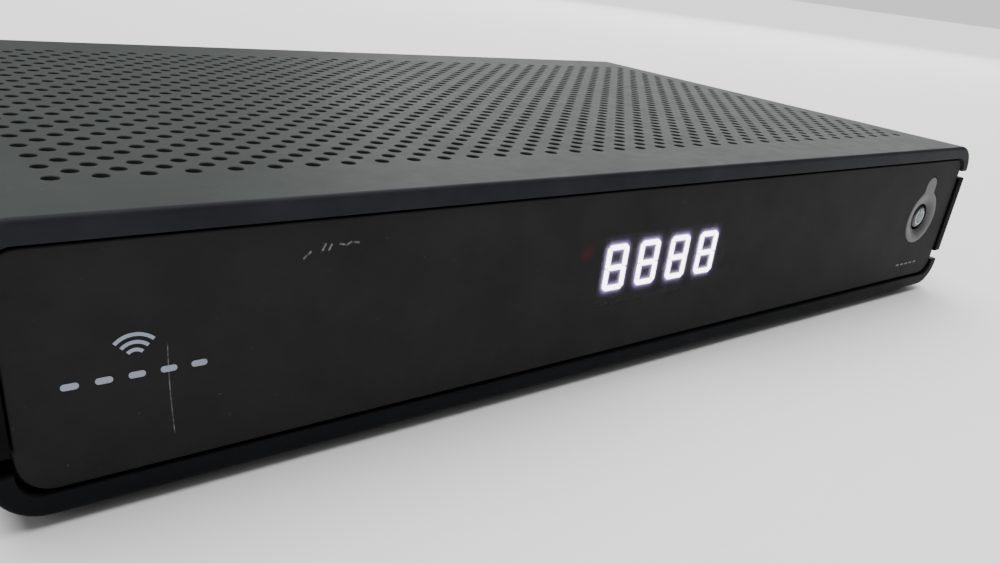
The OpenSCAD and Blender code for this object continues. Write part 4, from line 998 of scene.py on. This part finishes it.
# front face with rounded edge, keyhole seat and key bore; the stretch over the digits is see-through
def buildFascia():
    f = fasciaShape
    low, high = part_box("front_fascia")
    grow = f["grow"]
    edge = roundedLoop(low.x - grow, high.x + grow, low.z - grow, high.z + grow,
                       f["lowRadius"], f["highRadius"])
    quarter = np.radians(np.linspace(0, 90, 5))
    rounds = [insetLoop(edge, f["edgeRound"] * (1 - math.sin(a))) for a in quarter]
    depths = [faceY + f["edgeRound"] * (1 - math.cos(a)) for a in quarter]
    displayLow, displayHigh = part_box("display_segments")
    middleX, middleZ = (displayLow.x + displayHigh.x) / 2, (displayLow.z + displayHigh.z) / 2
    window = roundedLoop(middleX - f["windowWidth"] / 2, middleX + f["windowWidth"] / 2,
                         middleZ - f["windowHeight"] / 2, middleZ + f["windowHeight"] / 2, tiny, tiny, 1)
    keyhole = keyholeOutline() + [keyX, keyZ]
    wide = insetLoop(keyhole, -f["rimRound"])
    bore = arcPoints(keyX, keyZ, f["boreRadius"], 0, 360, 48)[:-1]
    soup = [loftLoops(rounds + [edge], depths + [fasciaBack]),
            loftLoops([wide, keyhole, keyhole], [faceY, faceY + f["rimRound"], faceY + f["seatDepth"]]),
            loftLoops([bore, bore], [faceY + f["seatDepth"], fasciaBack]),
            loftLoops([window, window], [fasciaBack, faceY + f["windowSkin"]])]
    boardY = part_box("front_board")[0].y
    for x, z in frontBosses():
        profile = [(f["bossRadius"], fasciaBack - mm), (f["bossRadius"], boardY), (f["bossBore"], boardY),
                   (f["bossBore"], boardY - f["bossDepth"]), (0, boardY - f["bossDepth"])]
        soup.append(turned([(0, fasciaBack - mm)] + profile, (x, 0, z), "y", 24))
    flats = flatArea([rounds[0], window, wide], faceY) + flatArea([edge, window, bore], fasciaBack)
    flats += flatArea([keyhole, bore], faceY + f["seatDepth"])
    clear = flatArea([window], faceY) + flatArea([window], faceY + f["windowSkin"])
    piece = solidFromSoup("fascia_plate", np.vstack(soup), flats + clear)
    standFor(piece, "front_fascia")
    piece.data.materials.append(smokedWindow)
    middle = np.array([p.center for p in piece.data.polygons])
    normal = np.array([p.normal for p in piece.data.polygons])
    isFront = (np.abs(middle[:, 1] - faceY) < 0.001 * mm) & (np.abs(normal[:, 1]) > 0.99)
    isWindow = ((np.abs(middle[:, 0] - middleX) < f["windowWidth"] / 2)
                & (np.abs(middle[:, 2] - middleZ) < f["windowHeight"] / 2))
    isBack = np.abs(middle[:, 1] - faceY - f["windowSkin"]) < 0.001 * mm
    piece.data.materials.append(clearBack)
    index = np.where(isFront & isWindow, 1, np.where(isBack & isWindow, 2, 0))
    piece.data.polygons.foreach_set("material_index", index.astype(np.int32))
    piece.modifiers.new("flatShading", "WEIGHTED_NORMAL").keep_sharp = True
    return piece


def frontBosses():
    low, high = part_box("front_board_screws")
    reach = fasciaShape["bossInset"]
    return [(x, z) for x in (low.x + reach, high.x - reach) for z in (low.z + reach, high.z - reach)]


# rows run from the bore to the outline; depth = dish near the bore, then flat, then a rounded edge
def buildKeyholeTrim():
    k = keyholeShape
    outer = insetLoop(keyholeOutline(), k["gap"])
    angle = np.arctan2(outer[:, 1], outer[:, 0])
    bore = fasciaShape["boreRadius"] + 0.02 * mm
    inner = np.stack([np.cos(angle), np.sin(angle)], 1) * bore
    reach = np.linalg.norm(outer - inner, axis=1)[:, None]
    edge = k["edgeRound"]
    share = np.concatenate([np.linspace(0, 1, 14)[None].repeat(len(outer), 0) * (1 - edge / reach),
                            1 - edge * (1 - np.sin(np.radians(np.linspace(18, 90, 5)))) / reach], 1)
    flat = inner[:, None] + (outer - inner)[:, None] * share[..., None]
    radius = np.linalg.norm(flat, axis=-1)
    hollow = np.clip(1 - (radius - bore) / k["dishReach"], 0, 1)
    toEdge = (1 - share) * reach
    rolled = edge - np.sqrt(np.maximum(edge ** 2 - np.maximum(edge - toEdge, 0) ** 2, 0))
    depth = faceY - k["rise"] + k["dish"] * hollow ** 1.6 + rolled
    front = np.stack([flat[..., 0] + keyX, depth, flat[..., 1] + keyZ], -1).transpose(1, 0, 2)
    seat = faceY + fasciaShape["seatDepth"]
    backOuter = atDepth(outer + [keyX, keyZ], seat)[None]
    backInner = atDepth(inner + [keyX, keyZ], seat)[None]
    grid = np.concatenate([backInner, front, backOuter])
    piece = solidFromSoup("keyhole_ring", gridSoup(grid, closeRows=True, closeColumns=True))
    return standFor(piece, "keyhole_trim")


buttonShape = {
    "radius": 3.5 * mm,
    "dome": 0.3 * mm,
    "edgeRound": 0.75 * mm,
    "collarRadius": 4.8 * mm,
}


# a shallow dome with a rounded rim, then the stem and the collar behind the fascia
def buildPowerButton():
    b = buttonShape
    low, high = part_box("power_button")
    reach = b["radius"] - b["edgeRound"]
    radii = np.linspace(0, reach, 8)
    dome = [(r, low.y + b["dome"] * (r / reach) ** 2) for r in radii]
    rim = [(reach + b["edgeRound"] * math.sin(a), low.y + b["dome"] + b["edgeRound"] * (1 - math.cos(a)))
           for a in np.radians([30, 60, 90])]
    collar = fasciaBack + 0.2 * mm
    rest = [(b["radius"], collar), (b["collarRadius"], collar), (b["collarRadius"], high.y), (0, high.y)]
    piece = solidFromSoup("power_button_cap", turned(dome + rim + rest, (keyX, 0, keyZ), "y", 64))
    return standFor(piece, "power_button")


iconShape = {
    "inset": 0.25 * mm,
    "width": 0.5 * mm,
    "arc": (125, 415),
    "barLow": 0.9 * mm,
    "barRise": 0.2 * mm,
}


# symbol on the dome: a ring open at the top and a bar in the opening, both with a rounded section
def buildPowerIcon():
    i = iconShape
    low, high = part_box("power_icon")
    radius, width = (high.x - low.x) / 2 - i["inset"], i["width"]
    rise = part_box("power_button")[0].y - low.y
    section = np.radians(np.linspace(0, 360, 9)[:-1])

    def bead(path, across):
        spread = np.cos(section)[None, :, None] * across[:, None] * width / 2
        points = np.empty((len(path), len(section), 3))
        points[..., 0::2] = path[:, None] + spread
        sink = buttonShape["dome"] * (np.hypot(path[:, 0], path[:, 1]) / buttonShape["radius"]) ** 2
        points[..., 1] = low.y + rise + sink[:, None] - rise * np.sin(section)
        points[..., 0] += keyX
        points[..., 2] += keyZ
        return points

    turn = np.radians(np.linspace(*i["arc"], 40))
    circle = np.stack([np.cos(turn), np.sin(turn)], 1)
    ring = bead(circle * radius, circle)
    upright = np.linspace(i["barLow"], radius + i["barRise"], 6)
    bar = bead(np.stack([np.zeros(6), upright], 1), np.tile([[1.0, 0.0]], (6, 1)))
    soup = np.vstack([gridSoup(ring, closeColumns=True), gridSoup(bar, closeColumns=True)])
    piece = solidFromSoup("power_symbol", soup, [ring[0], ring[-1], bar[0], bar[-1]])
    return standFor(piece, "power_icon")


digitShape = {
    "count": 4,
    "pitch": 10.05 * mm,
    "width": 6.1 * mm,
    "height": 10.2 * mm,
    "stroke": 1.06 * mm,
    "gap": 0.17 * mm,
    "corner": 0.75 * mm,
    "bevel": 0.06 * mm,
}


# the seven bars of one digit as (x, z) rings, with cut corners outside and pointed ends inside
def digitBars():
    d = digitShape
    w, h, s, g, c = d["width"] / 2, d["height"] / 2, d["stroke"], d["gap"], d["corner"]
    top = np.array([[c + g - w, h], [w - g - c, h], [w - g - c * 0.7, h - c * 0.12],
                    [w - g - c * 0.4, h - c * 0.4],
                    [w - s - g, h - s], [s + g - w, h - s], [g - w + c * 0.4, h - c * 0.4],
                    [g - w + c * 0.7, h - c * 0.12]])
    side = np.array([[w, h - g - c], [w, g], [w - s / 2, g], [w - s, s / 2 + g], [w - s, h - s - g],
                     [w - c * 0.4, h - g - c * 0.4], [w - c * 0.12, h - g - c * 0.7]])
    reach = w - s / 2 - g
    middle = np.array([[-reach, 0], [s / 2 - reach, s / 2], [reach - s / 2, s / 2], [reach, 0],
                       [reach - s / 2, -s / 2], [s / 2 - reach, -s / 2]])
    return [top, top * [1, -1], middle] + [side * [x, z] for x in (1, -1) for z in (1, -1)]


def digitCentres():
    d = digitShape
    low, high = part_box("display_segments")
    start = np.array([(low.x + high.x) / 2, (low.z + high.z) / 2])
    return [start + [(i - (d["count"] - 1) / 2) * d["pitch"], 0] for i in range(d["count"])]


def buildSegments():
    low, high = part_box("display_segments")
    bevel = digitShape["bevel"]
    soup, caps = [], []
    for centre in digitCentres():
        for bar in digitBars():
            ring = bar + centre
            face = insetRing(ring, bevel)
            soup.append(loftLoops([face, ring, ring], [low.y, low.y + bevel, high.y]))
            caps += [atDepth(face, low.y), atDepth(ring, high.y)]
    return standFor(solidFromSoup("digit_segments", np.vstack(soup), caps), "display_segments")


# moves a ring's points towards its middle by a distance, whichever way the ring runs
def insetRing(ring, distance):
    inward = ring.mean(0) - ring
    return ring + inward * (distance / np.linalg.norm(inward, axis=1, keepdims=True))


# front flange as a fine grid whose glow attribute, a painted halo, falls off with the distance to the nearest
# bar; each digit's area also gets a faint painted glow
def buildDisplayHousing():
    low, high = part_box("display_housing")
    look = displayLook
    reach = look["flange"]
    x = np.linspace(low.x - reach, high.x + reach, int((high.x - low.x) / look["gridStep"]))
    z = np.linspace(low.z - reach, high.z + reach, int((high.z - low.z) / look["gridStep"]))
    grid = np.stack(np.broadcast_arrays(x[:, None], np.full((1, 1), low.y), z[None]), -1)
    edge = np.concatenate([grid[:, 0], grid[-1, 1:], grid[::-1, -1][1:], grid[0, ::-1][1:-1]])
    rim = np.stack([edge, edge + [0, look["flangeDepth"], 0]])
    body = np.array([(low.x, low.z), (high.x, low.z), (high.x, high.z), (low.x, high.z)])
    step = low.y + look["flangeDepth"]
    flats = flatArea([edge[:, [0, 2]], body], step) + flatArea([body], high.y)
    sides = loftLoops([body, body], [step, high.y])
    soup = np.vstack([gridSoup(grid), gridSoup(rim, closeColumns=True), sides])
    piece = solidFromSoup("display_box", soup, flats)
    points = np.empty(len(piece.data.vertices) * 3)
    piece.data.vertices.foreach_get("co", points)
    points = points.reshape(-1, 3)
    nearest = np.full(len(points), 1.0)
    counter = np.zeros(len(points))
    for centre in digitCentres():
        flat = points[:, [0, 2]] - centre
        for bar in digitBars():
            nearest = np.minimum(nearest, ringDistance(flat, bar))
        inside = ((np.abs(flat[:, 0]) < digitShape["width"] / 2)
                  & (np.abs(flat[:, 1]) < digitShape["height"] / 2))
        counter = np.maximum(counter, inside * look["counterGlow"])
    glow = np.maximum(np.exp(-nearest / look["haloReach"]), counter) * (points[:, 1] < low.y + tiny)
    layer = piece.data.attributes.new("glow", "FLOAT", "POINT")
    layer.data.foreach_set("value", glow.astype(np.float32))
    return standFor(piece, "display_housing")


# distance from points to the nearest edge of a ring
def ringDistance(points, ring):
    start, along = ring, np.roll(ring, -1, 0) - ring
    share = ((points[:, None] - start) * along).sum(-1) / (along ** 2).sum(-1)
    nearest = start + np.clip(share, 0, 1)[..., None] * along
    return np.linalg.norm(points[:, None] - nearest, axis=-1).min(1)


buildFascia()
buildKeyholeTrim()
buildPowerButton()
buildPowerIcon()
buildDisplayHousing()
buildSegments()
print("front pieces built")


screwShape = {
    "crossWidth": 0.22,
    "crossReach": 0.62,
    "crossDepth": 0.45,
    "dome": 0.3,
    "domeFall": 0.35,
    "armSlope": 0.08,
    "endSlope": 0.1,
    "tipLength": 0.6,
    "tipRadius": 0.3,
}


# head and shank in one turned grid; the head's height is a dome less a cross-shaped recess.
# way is the unit vector out of the head, and lengths along it start at the head's seat.
def screwSoup(seat, way, headRadius, headHeight, shankRadius, shankLength, steps=64):
    s = screwShape
    angle = np.linspace(0, 2 * math.pi, steps, endpoint=False)
    share = np.concatenate([np.linspace(0.03, s["crossReach"], 9), np.linspace(s["crossReach"] + 0.06, 1, 5)])
    across, upward = share[:, None] * np.cos(angle), share[:, None] * np.sin(angle)
    dome = headHeight - headRadius * s["dome"] * s["domeFall"] * share[:, None] ** 2
    arm = np.clip((s["crossWidth"] - np.minimum(np.abs(across), np.abs(upward))) / s["armSlope"], 0, 1)
    ends = np.clip((s["crossReach"] - share[:, None]) / s["endSlope"], 0, 1)
    height = dome - headHeight * s["crossDepth"] * arm * ends
    top = np.stack([across * headRadius, upward * headRadius, height], -1)
    profile = np.array([(headRadius, 0), (shankRadius, 0),
                        (shankRadius, -shankLength + shankRadius * s["tipLength"]),
                        (shankRadius * s["tipRadius"], -shankLength)])
    rest = np.stack([profile[:, :1] * np.cos(angle), profile[:, :1] * np.sin(angle),
                     profile[:, 1:] + 0 * angle], -1)
    local = np.concatenate([top, rest])
    way = np.array(way, float)
    side = np.array([1.0, 0.0, 0.0])
    other = np.cross(way, side)
    points = np.array(seat) + local[..., :1] * side + local[..., 1:2] * other + local[..., 2:] * way
    return gridSoup(points, closeColumns=True), [points[0], points[-1]]


def buildScrews(node, places, way, sizes):
    made = [screwSoup(place, way, *sizes) for place in places]
    piece = solidFromSoup(node + "_set", np.vstack([soup for soup, caps in made]),
                          [cap for soup, caps in made for cap in caps], 40)
    return standFor(piece, node)


footShape = {
    "radius": 7 * mm,
    "round": 0.6 * mm,
    "grooveRadius": 4.4 * mm,
    "grooveWidth": 0.5 * mm,
    "grooveDepth": 0.35 * mm,
}


# a round pad with a rounded lower rim and one ring groove underneath
def buildFeet():
    f = footShape
    low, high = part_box("rubber_feet")
    quarter = np.radians(np.linspace(0, 90, 6))
    rim = [(f["radius"] - f["round"] * (1 - math.sin(a)), low.z + f["round"] * (1 - math.cos(a)))
           for a in quarter]
    g = f["grooveRadius"]
    base = [(0, low.z), (g - f["grooveWidth"], low.z), (g - f["grooveWidth"] / 2, low.z + f["grooveDepth"]),
            (g + f["grooveWidth"] / 2, low.z + f["grooveDepth"]), (g + f["grooveWidth"], low.z)]
    profile = base + rim + [(f["radius"], high.z), (0, high.z)]
    soup = [turned(profile, (x, y, 0), "z", 48)
            for x in (low.x + f["radius"], high.x - f["radius"])
            for y in (low.y + f["radius"], high.y - f["radius"])]
    return standFor(solidFromSoup("foot_pads", np.vstack(soup)), "rubber_feet")


coaxShape = {
    "radius": 4.76 * mm,
    "root": 4.5 * mm,
    "threadPitch": 0.794 * mm,
    "threadDepth": 0.3 * mm,
    "threadLength": 5 * mm,
    "bore": 3.3 * mm,
    "blockRound": 0.4 * mm,
    "nutFlats": 13 * mm,
    "nutLength": 3 * mm,
    "chamfer": 0.55 * mm,
    "chamferSlope": 1.75,
    "fade": 0.4 * mm,
    "fadedDepth": 0.6,
    "sunk": 2 * mm,
    "lead": 0.25 * mm,
    "nutLead": 0.3 * mm,
}


# barrel radius = outer radius less a sawtooth of (place / pitch + turn), faded out at both ends of the thread
def buildCoax():
    c = coaxShape
    low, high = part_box("coax_connector")
    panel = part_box("rear_panel")[0].y
    centreX = (low.x + high.x) / 2
    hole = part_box("coax_insulator")
    centreZ = (hole[0].z + hole[1].z) / 2
    block = roundedLoop(low.x, high.x, low.z, high.z, c["blockRound"], c["blockRound"], 4)
    small = insetLoop(block, c["blockRound"])
    depths = [low.y, low.y + c["blockRound"], panel - c["blockRound"], panel]
    soup = [loftLoops([small, block, block, small], depths)]
    steps = 64
    angle = np.linspace(0, 2 * math.pi, steps, endpoint=False)
    start = high.y - c["threadLength"]
    y = np.linspace(start, high.y, 61)
    phase = ((y[:, None] - start) / c["threadPitch"] + angle / (2 * math.pi)) % 1
    tooth = 1 - np.abs(2 * phase - 1)
    fade = np.clip(np.minimum(y - start, high.y - y) / c["fade"], 0, 1)[:, None]
    radius = c["radius"] - c["threadDepth"] * (tooth * fade + c["fadedDepth"] * (1 - fade))
    barrel = np.stack([centreX + radius * np.cos(angle), y[:, None] + 0 * angle,
                       centreZ + radius * np.sin(angle)], -1)
    sunk = panel - c["sunk"]
    ends = [(c["root"], sunk), (c["root"], start)]
    mouth = [(c["bore"] + c["lead"], high.y), (c["bore"], high.y - c["lead"]), (c["bore"], sunk)]

    def rings(profile):
        return np.stack([np.stack([centreX + r * np.cos(angle), np.full(steps, p),
                                   centreZ + r * np.sin(angle)], -1) for r, p in profile])

    grid = np.concatenate([rings(ends), barrel, rings(mouth)])
    soup.append(gridSoup(grid, closeRows=True, closeColumns=True))
    piece = solidFromSoup("coax_barrel", np.vstack(soup), [atDepth(small, low.y), atDepth(small, panel)])
    standFor(piece, "coax_connector")

    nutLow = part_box("coax_nut")[0]
    angle = np.linspace(0, 2 * math.pi, 96, endpoint=False)
    flat = c["nutFlats"] / 2
    corner = flat / math.cos(math.pi / 6)
    hexRadius = flat / np.cos((angle + math.pi / 6) % (math.pi / 3) - math.pi / 6)
    y = np.concatenate([np.linspace(0, c["chamfer"], 4),
                        np.linspace(c["nutLength"] - c["chamfer"], c["nutLength"], 4)])
    rise = np.minimum(y, c["nutLength"] - y)
    cone = corner - (c["chamfer"] - np.minimum(rise, c["chamfer"])) * c["chamferSlope"]
    outer = np.minimum(hexRadius[None], cone[:, None])
    lead = c["nutLead"]
    inner = np.array([c["root"] + lead, c["root"], c["root"], c["root"] + lead])
    innerY = np.array([c["nutLength"], c["nutLength"] - lead, lead, 0])
    radius = np.vstack([outer, np.repeat(inner[:, None], 96, 1)])
    depth = np.concatenate([y, innerY]) + nutLow.y
    grid = np.stack([centreX + radius * np.cos(angle), depth[:, None] + 0 * angle,
                     centreZ + radius * np.sin(angle)], -1)
    nut = solidFromSoup("coax_hex_nut", gridSoup(grid, closeRows=True, closeColumns=True))
    return standFor(nut, "coax_nut")


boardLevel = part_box("main_board")[1].z
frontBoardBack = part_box("front_board")[1].y
caseScrewSeat = postShape["headSeat"]
low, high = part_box("case_screws")
buildScrews("case_screws", [(x, y, caseScrewSeat) for x, y in casePosts()], (0, 0, -1),
            (2.75 * mm, caseScrewSeat - low.z, 1.4 * mm, high.z - caseScrewSeat))
low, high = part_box("main_board_screws")
buildScrews("main_board_screws", [(x, y, boardLevel) for x, y in boardScrews()], (0, 0, 1),
            (2.7 * mm, high.z - boardLevel, 1.25 * mm, boardLevel - low.z))
low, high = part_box("front_board_screws")
buildScrews("front_board_screws", [(x, frontBoardBack, z) for x, z in frontBosses()], (0, 1, 0),
            (1.9 * mm, high.y - frontBoardBack, 0.9 * mm, frontBoardBack - low.y))
buildFeet()
buildCoax()
print("fasteners, feet and coax socket built")

# edge rounding of the pieces kept from the frame, by slot
edgeRounds = {
    "panel": 0.25 * mm,
    "connector_black": 0.15 * mm,
    "connector_metal": 0.12 * mm,
    "chip_black": 0.12 * mm,
    "can_steel": 0.2 * mm,
    "sink": 0.12 * mm,
    "socket": 0.12 * mm,
    "capacitor": 0.35 * mm,
    "circuit_board": 0.08 * mm,
    "lamp": 0.1 * mm,
    "label_stock": 0.03 * mm,
    "plunger_red": 0.12 * mm,
}
built = {"top_cover", "base_tray", "side_rail_left", "side_rail_right", "front_fascia", "keyhole_trim",
         "power_button", "power_icon", "display_housing", "display_segments", "case_screws",
         "main_board_screws", "front_board_screws", "rubber_feet", "coax_connector", "coax_nut"}
for node, slot in slotOf.items():
    if node in built:
        continue
    if slot in edgeRounds:
        softened(node, edgeRounds[slot])
        continue
    shown = frame["nodes"][node]
    shown.data.materials.clear()
    shown.data.materials.append(finishes[slot])
print("kept pieces finished")

cameraView = {
    "place": (-144.75 * mm, -198.59 * mm, 82.58 * mm),
    "turn": (63.986, -6.653, -38.489),
    "lens": 30.419,
    "shift": (-0.016, 0.0865),
}

# each panel: place, the point it faces, width and height in metres, and its power in watts
lightPlan = {
    "back": ((1.35, 1.1, 0.8), (0.0, 0.0, 0.05), 1.7, 1.1, 18),
    "left": ((-1.6, -0.5, 0.9), (0.0, 0.0, 0.0), 0.9, 0.9, 3.0),
}
stagePlan = {
    "roomLight": 0.2,
    "wallLight": 0.95,
    "ceilingFrom": (0.1, 0.3, 1.6),
    "ceilingSpread": 70,
    "ceilingPower": 5.0,
    "floorColour": (0.92, 0.92, 0.915, 1),
    "floorReach": 8.0,
}


# camera, floor, world, the broad light overhead and the two panels
def buildStage():
    plan = stagePlan
    camera = bpy.data.objects.new("viewCamera", bpy.data.cameras.new("viewCamera"))
    camera.location = cameraView["place"]
    camera.rotation_euler = Euler([math.radians(a) for a in cameraView["turn"]], "XYZ")
    camera.data.lens = cameraView["lens"]
    camera.data.shift_x, camera.data.shift_y = cameraView["shift"]
    camera.data.clip_start = 0.01
    bpy.context.scene.collection.objects.link(camera)
    bpy.context.scene.camera = camera

    reach = plan["floorReach"]
    mesh = bpy.data.meshes.new("floor")
    mesh.from_pydata([(-reach, -reach, 0), (reach, -reach, 0), (reach, reach, 0), (-reach, reach, 0)], [],
                     [(0, 1, 2, 3)])
    floor = placeMesh("floor", mesh)
    mesh.materials.append(startMaterial("paleFloor", Base_Color=plan["floorColour"], Roughness=0.85)[0])

    world = bpy.data.worlds.new("studio")
    world.use_nodes = True
    background = world.node_tree.nodes["Background"]
    background.inputs["Color"].default_value = (1, 1, 1, 1)
    path = world.node_tree.nodes.new("ShaderNodeLightPath")
    seen = rangeOf(path.outputs["Is Camera Ray"], 0, 1, plan["roomLight"], plan["wallLight"])
    world.node_tree.links.new(seen, background.inputs["Strength"])
    bpy.context.scene.world = world
    sky = bpy.data.lights.new("ceiling", "SUN")
    sky.energy, sky.angle = plan["ceilingPower"], math.radians(plan["ceilingSpread"])
    holder = bpy.data.objects.new("ceiling", sky)
    holder.rotation_euler = Vector(plan["ceilingFrom"]).to_track_quat("Z", "Y").to_euler()
    bpy.context.scene.collection.objects.link(holder)
    for name, (place, aim, width, height, power) in lightPlan.items():
        lamp = bpy.data.lights.new(name, "AREA")
        lamp.shape = "RECTANGLE"
        lamp.size, lamp.size_y = width, height
        lamp.energy = power
        holder = bpy.data.objects.new(name, lamp)
        holder.location = place
        away = Vector(aim) - Vector(place)
        holder.rotation_euler = away.to_track_quat("-Z", "Y").to_euler()
        holder.visible_camera = False
        holder.visible_glossy = name != "left"
        bpy.context.scene.collection.objects.link(holder)


buildStage()
print("stage ready")
